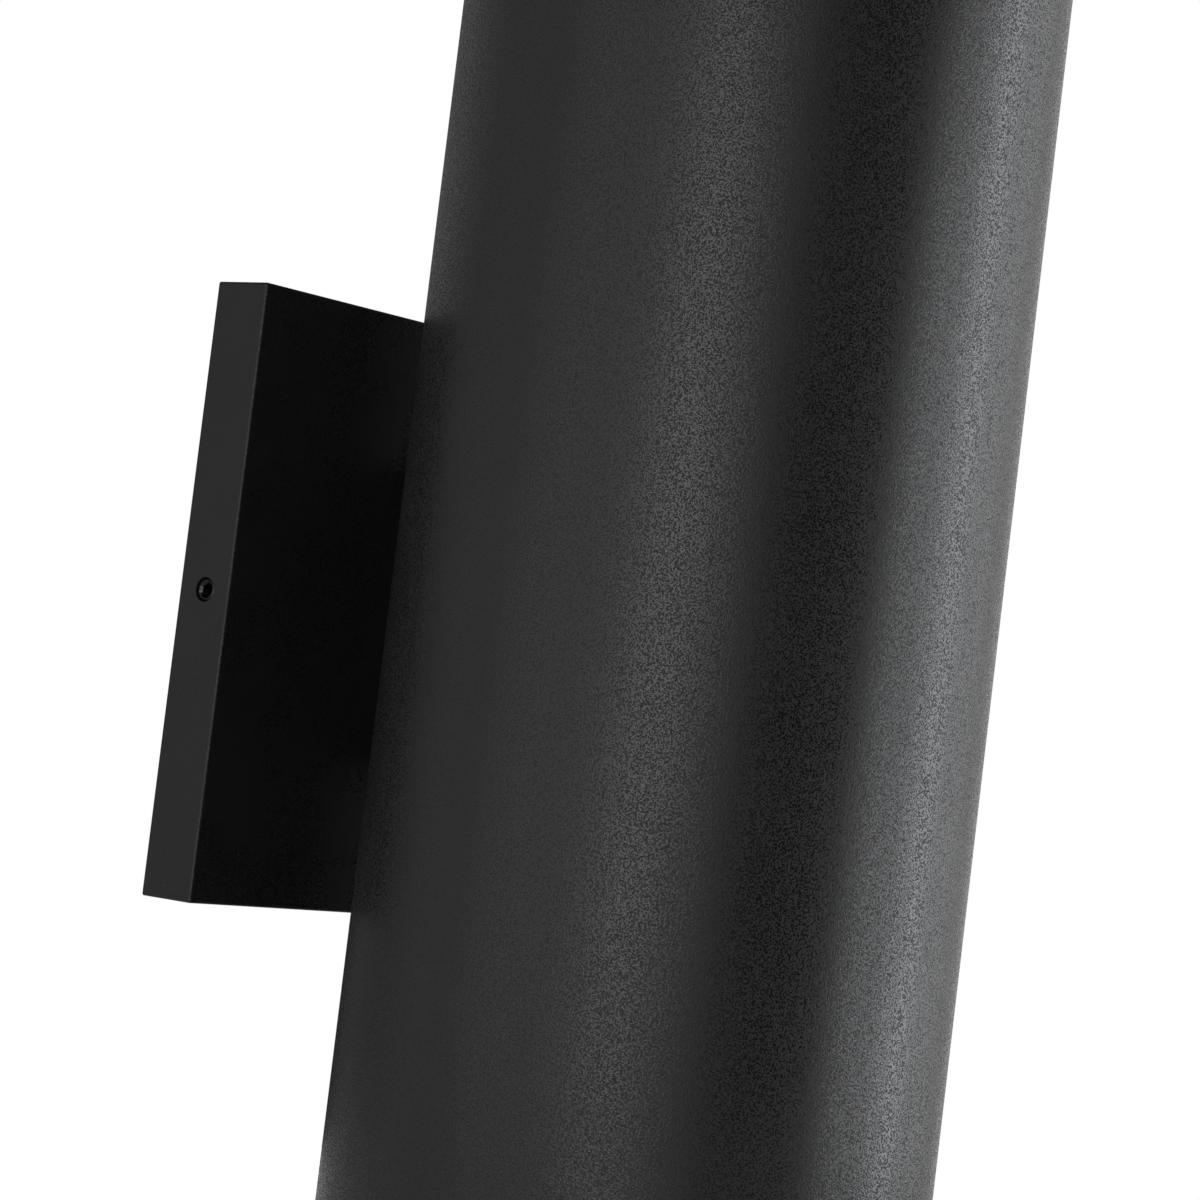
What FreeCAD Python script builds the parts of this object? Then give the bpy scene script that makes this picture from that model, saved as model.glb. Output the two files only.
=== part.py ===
"""Tube wall light: an up-and-down cylinder carried by a thin square canopy.

Frame: the origin is the middle of the canopy on the wall's surface, +Z runs up along
the tube and the light stands out from the wall towards -Y. All lengths are in mm.
"""
import FreeCAD, Part
from math import cos, tan
import os
import re

import Sketcher

Vector = FreeCAD.Vector
Rotation = FreeCAD.Rotation

document = FreeCAD.newDocument("TubeWallLight")

# ------------------------------------------------------------------ driving sizes

SIZES = {
    # canopy, the square cover against the wall
    "canopy_size": 127.0,
    "canopy_depth": 13.7,
    "canopy_wall": 3.0,
    "canopy_edge_radius": 0.6,
    "wall_gasket_width": 3.0,
    "wall_gasket_thickness": 1.5,
    # set screws in the canopy's sides
    "set_screw_diameter": 5.0,
    "set_screw_length": 8.0,
    "set_screw_recess": 0.4,
    "set_screw_socket": 2.5,
    "set_screw_socket_depth": 3.0,
    "set_screw_chamfer": 0.5,
    "set_screw_boss_radius": 5.0,
    "thread_clearance": 0.05,
    "body_gap": 0.3,
    # wall bracket behind the canopy
    "bracket_thickness": 2.0,
    "bracket_margin": 2.0,
    "bracket_bend_radius": 1.5,
    "flange_length": 50.0,
    "flange_clearance": 0.5,
    "window_width": 56.0,
    "window_height": 64.0,
    "window_corner_radius": 6.0,
    "round_box_slot_spacing": 79.4,
    "round_box_slot_length": 14.7,
    "gang_box_slot_spacing": 83.3,
    "gang_box_slot_length": 9.0,
    "box_slot_width": 5.2,
    "ground_screw_inset": 18.8,
    "ground_screw_drop": 20.5,
    "ground_screw_diameter": 4.0,
    "ground_screw_head_radius": 4.2,
    "ground_screw_head_height": 2.6,
    "ground_screw_flats": 7.0,
    "ground_screw_washer": 0.9,
    "ground_screw_grip": 2.5,
    # saddle and what passes through it
    "tube_gap": 8.0,
    "saddle_width": 26.0,
    "saddle_height": 64.0,
    "saddle_corner_radius": 3.0,
    "saddle_screw_spacing": 30.0,
    "saddle_screw_diameter": 5.0,
    "saddle_screw_head_diameter": 9.0,
    "saddle_screw_head_height": 3.2,
    "saddle_screw_socket": 3.0,
    "saddle_screw_socket_depth": 2.2,
    "screw_hole_clearance": 0.25,
    "nipple_diameter": 12.0,
    "nipple_bore": 9.6,
    "nipple_nut_across": 17.0,
    "nipple_nut_thickness": 3.0,
    "nipple_end_reach": 1.0,
    # tube
    "tube_diameter": 124.0,
    "tube_wall": 3.5,
    "tube_length": 298.5,
    "tube_end_chamfer": 0.5,
    "seat_step": 1.1,
    # backing plate and driver inside the tube
    "backing_width": 36.0,
    "backing_end_room": 12.75,
    "backing_thickness": 6.5,
    "driver_standoff": 12.0,
    "bracket_sheet": 1.5,
    "driver_bracket_width": 30.0,
    "bracket_foot_length": 10.0,
    "foot_screw_diameter": 4.0,
    "foot_screw_length": 5.0,
    "lead_notch_width": 9.6,
    "lead_notch_depth": 7.0,
    "driver_end_room": 14.75,
    "driver_width": 42.0,
    "driver_depth": 26.0,
    "driver_edge_radius": 2.0,
    "driver_ear_length": 8.0,
    "driver_ear_thickness": 2.0,
    "driver_ear_width": 20.0,
    "supply_entry_depth": 13.0,
    "led_entry_depth": 20.0,
    "lead_entry": 3.0,
    "lead_lane": 8.0,
    "lead_turn_room": 12.0,
    "ear_screw_diameter": 3.5,
    "ear_screw_length": 5.0,
    "small_head_height": 2.2,
    "small_head_ratio": 1.8,
    # stack in each end of the tube, from the mouth inwards
    "bezel_recess": 6.0,
    "bezel_thickness": 4.0,
    "bezel_width": 13.6,
    "bezel_inner_chamfer": 1.5,
    "lens_thickness": 4.0,
    "lens_inset": 9.1,
    "lens_edge_chamfer": 0.5,
    "lens_gasket_thickness": 1.5,
    "lens_gasket_width": 4.0,
    "lens_clearance": 0.3,
    "end_clearance": 0.1,
    "sink_land": 4.5,
    "cup_inset": 15.1,
    "cup_wall": 4.0,
    "cup_floor": 5.0,
    "reflector_rim_width": 1.3,
    "reflector_rim_depth": 1.5,
    "reflector_height": 44.0,
    "reflector_sheet": 1.0,
    "reflector_throat_radius": 11.0,
    "fin_count": 12,
    "fin_height": 20.0,
    "fin_thickness": 2.2,
    "fin_inner_radius": 22.0,
    "fin_inset": 2.5,
    "bezel_screw_count": 3,
    "bezel_screw_diameter": 3.0,
    "bezel_screw_head_diameter": 6.0,
    "bezel_screw_socket": 2.0,
    "bezel_screw_length": 10.0,
    # light engine on each cup's floor
    "led_board_size": 24.0,
    "led_board_thickness": 1.2,
    "led_dome_radius": 8.5,
    "led_dome_height": 0.9,
    "led_holder_radius": 22.0,
    "led_holder_thickness": 4.5,
    "led_holder_aperture": 10.5,
    "holder_screw_radius": 18.5,
    "holder_screw_diameter": 3.0,
    "holder_screw_length": 6.5,
    "led_lead_diameter": 1.7,
    "led_lead_spread": 2.6,
    "led_lead_rise": 2.7,
    "led_lead_turn_drop": 7.0,
    "led_lead_cross_rise": 4.0,
    "led_lead_hole_diameter": 9.0,
    "led_lead_hole_inset": 10.5,
    # tie rods between the two cups
    "tie_rod_inset": 7.5,
    "tie_rod_diameter": 4.0,
    "tie_rod_nut_across": 7.0,
    "tie_rod_nut_thickness": 3.2,
    "tie_rod_end_reach": 1.5,
    # supply leads and terminal block
    "supply_lead_diameter": 2.2,
    "supply_lead_spread": 2.7,
    "supply_lead_bend": 5.2,
    "terminal_width": 34.0,
    "terminal_height": 11.0,
    "terminal_depth": 6.0,
    "terminal_drop": 26.0,
    "terminal_pitch": 6.5,
    "terminal_pad": 2.0,
    "terminal_screw_spacing": 27.0,
    "terminal_screw_diameter": 3.0,
    "terminal_screw_head_height": 1.5,
    "terminal_screw_grip": 3.0,
    "terminal_well_radius": 1.9,
    "terminal_well_depth": 2.0,
}

sheet = document.addObject("Spreadsheet::Sheet", "Sizes")
for row, (alias, size) in enumerate(SIZES.items(), start=1):
    sheet.set(f"A{row}", alias)
    sheet.set(f"B{row}", str(size))
    sheet.setAlias(f"B{row}", alias)
document.recompute()

# Distances that several pieces share, as formulas of the sizes above.
TUBE_RADIUS = "(tube_diameter / 2)"
BORE_RADIUS = f"({TUBE_RADIUS} - tube_wall)"
SEAT_RADIUS = f"({BORE_RADIUS} + seat_step)"
TUBE_AXIS = f"(-canopy_depth - tube_gap - {TUBE_RADIUS})"
TUBE_END = "(tube_length / 2)"
CANOPY_INSIDE = "(canopy_depth - canopy_wall)"
HOLLOW_HALF = "(canopy_size / 2 - canopy_wall)"
SCREW_TIP = "(canopy_size / 2 - set_screw_recess - set_screw_length)"
FLANGE_FACE = f"({SCREW_TIP} - body_gap)"
GROUND_ACROSS = f"({FLANGE_FACE} - ground_screw_inset)"
GROUND_UP = f"({HOLLOW_HALF} - ground_screw_drop)"
BACKING_FRONT = f"({BORE_RADIUS} - backing_thickness)"
WEB_FRONT = f"({BACKING_FRONT} - driver_standoff - bracket_sheet)"
LENS_TOP = f"({TUBE_END} - bezel_recess - bezel_thickness)"
GASKET_TOP = f"({LENS_TOP} - lens_thickness)"
POCKET_FLOOR = f"({GASKET_TOP} - lens_gasket_thickness)"
LENS_RADIUS = f"({SEAT_RADIUS} - lens_inset)"
POCKET_RADIUS = f"({LENS_RADIUS} + lens_clearance)"
BEZEL_OPENING = f"({SEAT_RADIUS} - bezel_width)"
CUP_RADIUS = f"({SEAT_RADIUS} - cup_inset)"
REFLECTOR_RIM = f"({CUP_RADIUS} + reflector_rim_width)"
TIE_ROD_RADIUS = f"({CUP_RADIUS} - tie_rod_inset)"
LEAD_HOLE_RADIUS = f"({CUP_RADIUS} - led_lead_hole_inset)"
SHOULDER = f"({POCKET_FLOOR} - sink_land)"
RIM_SEAT = f"({POCKET_FLOOR} - reflector_rim_depth)"
REFLECTOR_TOP = f"({RIM_SEAT} + reflector_sheet)"
HOLDER_TOP = f"({REFLECTOR_TOP} - reflector_height)"
CUP_FLOOR = f"({HOLDER_TOP} - led_holder_thickness)"
SINK_BACK = f"({CUP_FLOOR} - cup_floor)"
FIN_END = f"({SINK_BACK} - fin_height)"
DRIVER_END = f"({FIN_END} - driver_end_room)"
DRIVER_REACH = f"({DRIVER_END} + driver_ear_length)"
BACKING_END = f"({SINK_BACK} - backing_end_room)"
BEZEL_BOLT_RADIUS = f"(({POCKET_RADIUS} + {SEAT_RADIUS} - end_clearance) / 2)"
TERMINAL_BACK = f"(terminal_pad + terminal_depth - {CANOPY_INSIDE})"


# ------------------------------------------------------------------ ways of working

def formula(text):
    """Write a formula of the sizes so that it reads them from the sheet."""
    return re.sub(r"[a-z_]+[a-z]", lambda word: f"Sizes.{word.group()}" if word.group() in SIZES
                  else word.group(), str(text))


def value(text):
    """The number that a formula gives now."""
    return float(sheet.evalExpression(formula(text)))


def bind(target, path, text):
    """Tie one property of an object to a formula of the sizes."""
    target.setExpression(path, formula(text))


def new_body(label):
    body = document.addObject("PartDesign::Body", label)
    body.Label = label
    return body


def new_sketch(body, name, plane, height="0", turn="0"):
    """A sketch on one of the body's origin planes, lifted along its normal and turned on it."""
    sketch = body.newObject("Sketcher::SketchObject", name)
    support = [face for face in body.Origin.OriginFeatures if face.Role == plane][0]
    sketch.AttachmentSupport = [(support, "")]
    sketch.MapMode = "FlatFace"
    lift = Vector(0, 0, value(height))
    sketch.AttachmentOffset = FreeCAD.Placement(lift, Rotation(Vector(0, 0, 1), value(turn)))
    bind(sketch, "AttachmentOffset.Base.z", height)
    if turn != "0":
        bind(sketch, "AttachmentOffset.Rotation.Angle", turn)
    return sketch


def dimension(sketch, kind, geometry, point, text):
    """Place one point of a sketch from the sketch's origin by a formula."""
    number = sketch.addConstraint(Sketcher.Constraint(kind, geometry, point, value(text)))
    sketch.setExpression(f"Constraints[{number}]", formula(text))


def draw_outline(sketch, corners):
    """A closed outline of straight lines; every corner is an (across, up) pair of formulas."""
    places = [Vector(value(across), value(up), 0) for across, up in corners]
    first = sketch.GeometryCount
    count = len(corners)
    for index in range(count):
        sketch.addGeometry(Part.LineSegment(places[index], places[(index + 1) % count]), False)
    for index in range(count):
        follower = first + (index + 1) % count
        sketch.addConstraint(Sketcher.Constraint("Coincident", first + index, 2, follower, 1))
    for index, (across, up) in enumerate(corners):
        dimension(sketch, "DistanceX", first + index, 1, across)
        dimension(sketch, "DistanceY", first + index, 1, up)


def draw_rectangle(sketch, width, height, across="0", up="0"):
    left = f"({across}) - ({width}) / 2"
    right = f"({across}) + ({width}) / 2"
    low = f"({up}) - ({height}) / 2"
    high = f"({up}) + ({height}) / 2"
    draw_outline(sketch, [(left, low), (right, low), (right, high), (left, high)])


def draw_circle(sketch, radius, across="0", up="0"):
    centre = Vector(value(across), value(up), 0)
    index = sketch.addGeometry(Part.Circle(centre, Vector(0, 0, 1), value(radius)), False)
    dimension(sketch, "DistanceX", index, 3, across)
    dimension(sketch, "DistanceY", index, 3, up)
    number = sketch.addConstraint(Sketcher.Constraint("Radius", index, value(radius)))
    sketch.setExpression(f"Constraints[{number}]", formula(radius))


def pad(body, sketch, length, reverse=False, both_ways=False):
    feature = body.newObject("PartDesign::Pad", "Pad")
    feature.Profile = sketch
    bind(feature, "Length", length)
    feature.Reversed = reverse
    feature.SideType = "Symmetric" if both_ways else "One side"
    document.recompute()
    return feature


def pocket(body, sketch, depth, reverse=False, both_ways=False):
    """Cut a sketch into the body, and stop if the cut has missed the solid."""
    before = body.Shape.Volume
    feature = body.newObject("PartDesign::Pocket", "Pocket")
    feature.Profile = sketch
    bind(feature, "Length", depth)
    feature.Reversed = reverse
    feature.SideType = "Symmetric" if both_ways else "One side"
    document.recompute()
    if not feature.Shape.Volume < before:
        raise RuntimeError(f"a pocket of {body.Label} cuts nothing")
    return feature


def revolve(body, sketch):
    feature = body.newObject("PartDesign::Revolution", "Revolution")
    feature.Profile = sketch
    feature.ReferenceAxis = (sketch, ["V_Axis"])
    feature.Angle = 360
    document.recompute()
    return feature


def turned(label, corners):
    """A turned body from its half section: (radius, height) pairs round the Z axis."""
    body = new_body(label)
    section = new_sketch(body, "Section", "XZ_Plane")
    draw_outline(section, corners)
    revolve(body, section)
    return body


def repeat_round(body, features, count):
    """Repeat features evenly round the body's Z axis."""
    pattern = body.newObject("PartDesign::PolarPattern", "PolarPattern")
    pattern.Originals = features
    axis = [line for line in body.Origin.OriginFeatures if line.Role == "Z_Axis"][0]
    pattern.Axis = (axis, [""])
    pattern.Angle = 360
    bind(pattern, "Occurrences", count)
    body.Tip = pattern
    document.recompute()
    return pattern


def dress_edges(body, kind, radius, choose):
    """Fillet or chamfer the edges that choose() picks."""
    base = body.Tip
    names = [f"Edge{index}" for index, edge in enumerate(base.Shape.Edges, start=1) if choose(edge)]
    feature = body.newObject(f"PartDesign::{kind}", kind)
    feature.Base = (base, names)
    bind(feature, "Radius" if kind == "Fillet" else "Size", radius)
    document.recompute()
    return feature


def stand(piece, across="0", out="0", up="0", turn=Rotation()):
    """Turn a piece and tie the place of its own origin to formulas."""
    piece.Placement = FreeCAD.Placement(Vector(value(across), value(out), value(up)), turn)
    bind(piece, "Placement.Base.x", across)
    bind(piece, "Placement.Base.y", out)
    bind(piece, "Placement.Base.z", up)
    return piece


def draw_slot(sketch, length, width, across="0", up="0", upright=False):
    """A round-ended slot, end to end its length, lying along the sketch or upright."""
    half = f"(({length}) - ({width})) / 2"
    reach = value(half)
    radius = value(width) / 2
    centre = Vector(value(across), value(up), 0)
    along = Vector(0, 1, 0) if upright else Vector(1, 0, 0)
    side = Vector(1, 0, 0) if upright else Vector(0, -1, 0)
    far = centre + along * reach
    near = centre - along * reach
    first = sketch.GeometryCount
    sketch.addGeometry(Part.LineSegment(near + side * radius, far + side * radius), False)
    sketch.addGeometry(Part.Arc(far + side * radius, far + along * radius, far - side * radius), False)
    sketch.addGeometry(Part.LineSegment(far - side * radius, near - side * radius), False)
    sketch.addGeometry(Part.Arc(near - side * radius, near - along * radius, near + side * radius), False)
    line_one, arc_one, line_two, arc_two = range(first, first + 4)
    for line, line_end, arc in ((line_one, 2, arc_one), (line_two, 1, arc_one),
                                (line_two, 2, arc_two), (line_one, 1, arc_two)):
        arc_point = 1 if (arc, line) in ((arc_one, line_one), (arc_two, line_two)) else 2
        sketch.addConstraint(Sketcher.Constraint("Tangent", line, line_end, arc, arc_point))
    number = sketch.addConstraint(Sketcher.Constraint("Radius", arc_one, radius))
    sketch.setExpression(f"Constraints[{number}]", formula(f"({width}) / 2"))
    far_shift = ("0", half) if upright else (half, "0")
    for arc, sign in ((arc_one, "+"), (arc_two, "-")):
        dimension(sketch, "DistanceX", arc, 3, f"({across}) {sign} ({far_shift[0]})")
        dimension(sketch, "DistanceY", arc, 3, f"({up}) {sign} ({far_shift[1]})")


def rod(radius, length, across="0", out="0", up="0", turn=Rotation()):
    """A plain cylinder that starts at a point and runs along its turned Z axis."""
    piece = document.addObject("Part::Cylinder", "Rod")
    bind(piece, "Radius", radius)
    bind(piece, "Height", length)
    return stand(piece, across, out, up, turn)


def hexagon(flats, length, across="0", out="0", up="0", turn=Rotation()):
    """A six-sided prism, sized across its flats."""
    piece = document.addObject("Part::Prism", "Hexagon")
    piece.Polygon = 6
    bind(piece, "Circumradius", f"({flats}) / sqrt(3)")
    bind(piece, "Height", length)
    return stand(piece, across, out, up, turn)


def cone(start_radius, end_radius, length, across="0", out="0", up="0", turn=Rotation()):
    piece = document.addObject("Part::Cone", "Cone")
    bind(piece, "Radius1", start_radius)
    bind(piece, "Radius2", end_radius)
    bind(piece, "Height", length)
    return stand(piece, across, out, up, turn)


def join(*pieces):
    result = document.addObject("Part::MultiFuse", "Join")
    result.Shapes = list(pieces)
    return result


def cut(piece, tool):
    result = document.addObject("Part::Cut", "Cut")
    result.Base = piece
    result.Tool = tool
    return result


def group(label, pieces):
    """Like pieces that share one node as separate solids."""
    result = document.addObject("Part::Compound", label)
    result.Label = label
    result.Links = list(pieces)
    return result


nodes = []


def keep(piece, on_tube=False, lower_end=False):
    """List a finished sub-part, and set it on the tube's axis if it was built round it."""
    if on_tube:
        turn = Rotation(Vector(0, 1, 0), 180) if lower_end else Rotation()
        stand(piece, "0", TUBE_AXIS, "0", turn)
    nodes.append(piece)


# A turn that points a piece's own Z axis in a direction of the model.
TO_WALL = Rotation(Vector(1, 0, 0), -90)
FROM_WALL = Rotation(Vector(1, 0, 0), 90)
TO_RIGHT = Rotation(Vector(0, 1, 0), 90)
TO_LEFT = Rotation(Vector(0, 1, 0), -90)
DOWN = Rotation(Vector(1, 0, 0), 180)


def straight_along(axis, length_at_least=0.0):
    """A test for straight edges that run along one axis of the body."""
    def test(edge):
        if edge.Curve.TypeId != "Part::GeomLine":
            return False
        return abs(abs(edge.Curve.Direction.dot(axis)) - 1) < 1e-6 and edge.Length > length_at_least
    return test


# ------------------------------------------------------------------ wall side

def build_wall_bracket():
    """Steel plate bent forward at both sides, where the set screws press on it."""
    body = new_body("wall_bracket")
    height = "(canopy_size - 2 * canopy_wall - 2 * wall_gasket_width - 2 * bracket_margin)"
    plate = new_sketch(body, "Plate", "XZ_Plane")
    draw_rectangle(plate, f"2 * {FLANGE_FACE}", height)
    pad(body, plate, "bracket_thickness")
    for sign in ("-", "+"):
        flange = new_sketch(body, "Flange", "XZ_Plane")
        middle = f"({sign}1) * ({FLANGE_FACE} - bracket_thickness / 2)"
        draw_rectangle(flange, "bracket_thickness", "flange_length", middle)
        pad(body, flange, f"{CANOPY_INSIDE} - flange_clearance")
    reach = value(FLANGE_FACE)
    upright = straight_along(Vector(0, 0, 1), value("flange_length") / 2)
    dress_edges(body, "Fillet", "bracket_bend_radius",
                lambda edge: upright(edge) and abs(edge.CenterOfMass.z) < 1e-3
                and abs(abs(edge.CenterOfMass.x) - reach + value("bracket_thickness")) < 1e-3
                and abs(edge.CenterOfMass.y + value("bracket_thickness")) < 1e-3)
    window = new_sketch(body, "Window", "XZ_Plane")
    draw_rectangle(window, "window_width", "window_height")
    pocket(body, window, "bracket_thickness", reverse=True)
    through = straight_along(Vector(0, 1, 0))
    dress_edges(body, "Fillet", "window_corner_radius",
                lambda edge: through(edge) and abs(edge.CenterOfMass.x) < value("window_width") / 2 + 1e-3)
    slots = new_sketch(body, "Slots", "XZ_Plane")
    for sign in ("-", "+"):
        draw_slot(slots, "round_box_slot_length", "box_slot_width",
                  across=f"({sign}1) * round_box_slot_spacing / 2")
        draw_slot(slots, "gang_box_slot_length", "box_slot_width",
                  up=f"({sign}1) * gang_box_slot_spacing / 2", upright=True)
    draw_circle(slots, "ground_screw_diameter / 2 + thread_clearance",
                GROUND_ACROSS, GROUND_UP)
    pocket(body, slots, "bracket_thickness", reverse=True)
    keep(body)


def build_ground_screw():
    """Earth screw with a washer face, backed out by the room its wire needs."""
    face = "(-bracket_thickness - ground_screw_grip)"
    place = (GROUND_ACROSS, face, GROUND_UP)
    shank = rod("ground_screw_diameter / 2", "bracket_thickness + ground_screw_grip",
                *place, turn=TO_WALL)
    washer = rod("ground_screw_head_radius", "ground_screw_washer", *place, turn=FROM_WALL)
    head = hexagon("ground_screw_flats", "ground_screw_head_height", *place, turn=FROM_WALL)
    screw = join(shank, washer, head)
    screw.Label = "ground_screw"
    keep(screw)


# ------------------------------------------------------------------ canopy

BOSS_END = f"({FLANGE_FACE} + body_gap)"
TERMINAL_UP = "(-terminal_drop)"


def build_canopy():
    """Square cast cover, hollow towards the wall, with a threaded boss in each side."""
    body = new_body("canopy")
    block = new_sketch(body, "Block", "XZ_Plane")
    draw_rectangle(block, "canopy_size", "canopy_size")
    pad(body, block, "canopy_depth")
    dress_edges(body, "Fillet", "canopy_edge_radius", lambda edge: edge.CenterOfMass.y < -1e-3)
    hollow = new_sketch(body, "Hollow", "XZ_Plane")
    draw_rectangle(hollow, f"2 * {HOLLOW_HALF}", f"2 * {HOLLOW_HALF}")
    pocket(body, hollow, CANOPY_INSIDE, reverse=True)
    for sign, backwards in (("+", False), ("-", True)):
        boss = new_sketch(body, "Boss", "YZ_Plane", f"({sign}1) * {BOSS_END}")
        draw_circle(boss, "set_screw_boss_radius", "-canopy_depth / 2")
        pad(body, boss, f"{HOLLOW_HALF} - {BOSS_END} + canopy_wall / 2", reverse=backwards)
        thread = new_sketch(body, "Thread", "YZ_Plane", f"({sign}1) * canopy_size / 2")
        draw_circle(thread, "set_screw_diameter / 2 + thread_clearance", "-canopy_depth / 2")
        pocket(body, thread, f"canopy_size / 2 - {BOSS_END} + body_gap", reverse=backwards)
    rest = new_sketch(body, "TerminalPad", "XZ_Plane", f"{CANOPY_INSIDE} - terminal_pad")
    draw_rectangle(rest, "terminal_width", "terminal_height", up=TERMINAL_UP)
    pad(body, rest, "terminal_pad + canopy_wall / 2")
    passages = new_sketch(body, "Passages", "XZ_Plane", CANOPY_INSIDE)
    draw_circle(passages, "nipple_diameter / 2 + thread_clearance")
    for sign in ("-", "+"):
        draw_circle(passages, "saddle_screw_diameter / 2 + screw_hole_clearance",
                    up=f"({sign}1) * saddle_screw_spacing / 2")
    pocket(body, passages, "canopy_wall", reverse=True)
    fixings = new_sketch(body, "TerminalFixings", "XZ_Plane", f"{CANOPY_INSIDE} - terminal_pad")
    for sign in ("-", "+"):
        draw_circle(fixings, "terminal_screw_diameter / 2 + thread_clearance",
                    f"({sign}1) * terminal_screw_spacing / 2", TERMINAL_UP)
    pocket(body, fixings, "terminal_screw_grip", reverse=True)
    keep(body)


def build_canopy_gasket():
    """Foam strip round the inside of the canopy's rim, flush with the wall."""
    body = new_body("canopy_gasket")
    outer = f"2 * ({HOLLOW_HALF} - end_clearance)"
    strip = new_sketch(body, "Strip", "XZ_Plane")
    draw_rectangle(strip, outer, outer)
    inner = f"{outer} - 2 * wall_gasket_width"
    draw_rectangle(strip, inner, inner)
    pad(body, strip, "wall_gasket_thickness")
    keep(body)


def build_set_screws():
    """Hex-socket set screws, one in each side of the canopy, pressing on the flanges."""
    for label, sign, turn in (("set_screw_left", "-", TO_RIGHT), ("set_screw_right", "+", TO_LEFT)):
        start = f"({sign}1) * (canopy_size / 2 - set_screw_recess)"
        place = (start, "-canopy_depth / 2", "0")
        body = new_body(label)
        corner = "set_screw_chamfer"
        radius = "set_screw_diameter / 2"
        section = new_sketch(body, "Section", "XZ_Plane")
        draw_outline(section, [("0", "0"), (f"{radius} - {corner}", "0"), (radius, corner),
                               (radius, f"set_screw_length - {corner}"),
                               (f"{radius} - {corner}", "set_screw_length"),
                               ("0", "set_screw_length")])
        revolve(body, section)
        socket = new_sketch(body, "Socket", "XY_Plane")
        tip = "set_screw_socket / sqrt(3)"
        draw_outline(socket, [(f"{tip}", "0"), (f"{tip} / 2", "set_screw_socket / 2"),
                              (f"-{tip} / 2", "set_screw_socket / 2"), (f"-{tip}", "0"),
                              (f"-{tip} / 2", "-set_screw_socket / 2"),
                              (f"{tip} / 2", "-set_screw_socket / 2")])
        pocket(body, socket, "set_screw_socket_depth", reverse=True)
        stand(body, *place, turn=turn)
        keep(body)


def build_saddle():
    """Spacer block with a hollow face that takes the round of the tube."""
    body = new_body("saddle")
    block = new_sketch(body, "Block", "XZ_Plane", "canopy_depth")
    draw_rectangle(block, "saddle_width", "saddle_height")
    pad(body, block, "tube_gap + saddle_width / 4")
    dress_edges(body, "Fillet", "saddle_corner_radius", straight_along(Vector(0, 1, 0)))
    seat = new_sketch(body, "TubeSeat", "XY_Plane")
    draw_circle(seat, TUBE_RADIUS, up=TUBE_AXIS)
    pocket(body, seat, "2 * saddle_height", both_ways=True)
    passages = new_sketch(body, "Passages", "XZ_Plane", "canopy_depth")
    draw_circle(passages, "nipple_diameter / 2 + thread_clearance")
    for sign in ("-", "+"):
        draw_circle(passages, "saddle_screw_diameter / 2 + screw_hole_clearance",
                    up=f"({sign}1) * saddle_screw_spacing / 2")
    pocket(body, passages, "tube_gap + saddle_width / 4", reverse=True)
    keep(body)


def build_saddle_screws():
    """Two screws from inside the canopy through saddle and tube into the backing plate."""
    screws = []
    face = f"(-{CANOPY_INSIDE})"
    reach = "canopy_wall + tube_gap + tube_wall + backing_thickness"
    for sign in ("-", "+"):
        place = ("0", face, f"({sign}1) * saddle_screw_spacing / 2")
        shank = rod("saddle_screw_diameter / 2", reach, *place, turn=FROM_WALL)
        head = rod("saddle_screw_head_diameter / 2", "saddle_screw_head_height", *place, turn=TO_WALL)
        top = f"({face} + saddle_screw_head_height)"
        socket = hexagon("saddle_screw_socket", "saddle_screw_socket_depth",
                         "0", top, f"({sign}1) * saddle_screw_spacing / 2", turn=FROM_WALL)
        screws.append(cut(join(shank, head), socket))
    keep(group("saddle_screws", screws))


def build_wire_nipple():
    """Hollow threaded tube that carries the leads from the canopy into the tube."""
    length = ("(canopy_wall + tube_gap + tube_wall + backing_thickness"
              " + nipple_nut_thickness + nipple_end_reach)")
    face = f"(-{CANOPY_INSIDE})"
    outside = rod("nipple_diameter / 2", length, "0", face, "0", turn=FROM_WALL)
    inside = rod("nipple_bore / 2", length, "0", face, "0", turn=FROM_WALL)
    nipple = cut(outside, inside)
    nipple.Label = "wire_nipple"
    keep(nipple)
    nut_face = f"({TUBE_AXIS} + {BACKING_FRONT})"
    blank = hexagon("nipple_nut_across", "nipple_nut_thickness", "0", nut_face, "0", turn=FROM_WALL)
    thread = rod("nipple_diameter / 2 + thread_clearance", "nipple_nut_thickness",
                 "0", nut_face, "0", turn=FROM_WALL)
    nut = cut(blank, thread)
    nut.Label = "nipple_nut"
    keep(nut)


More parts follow.
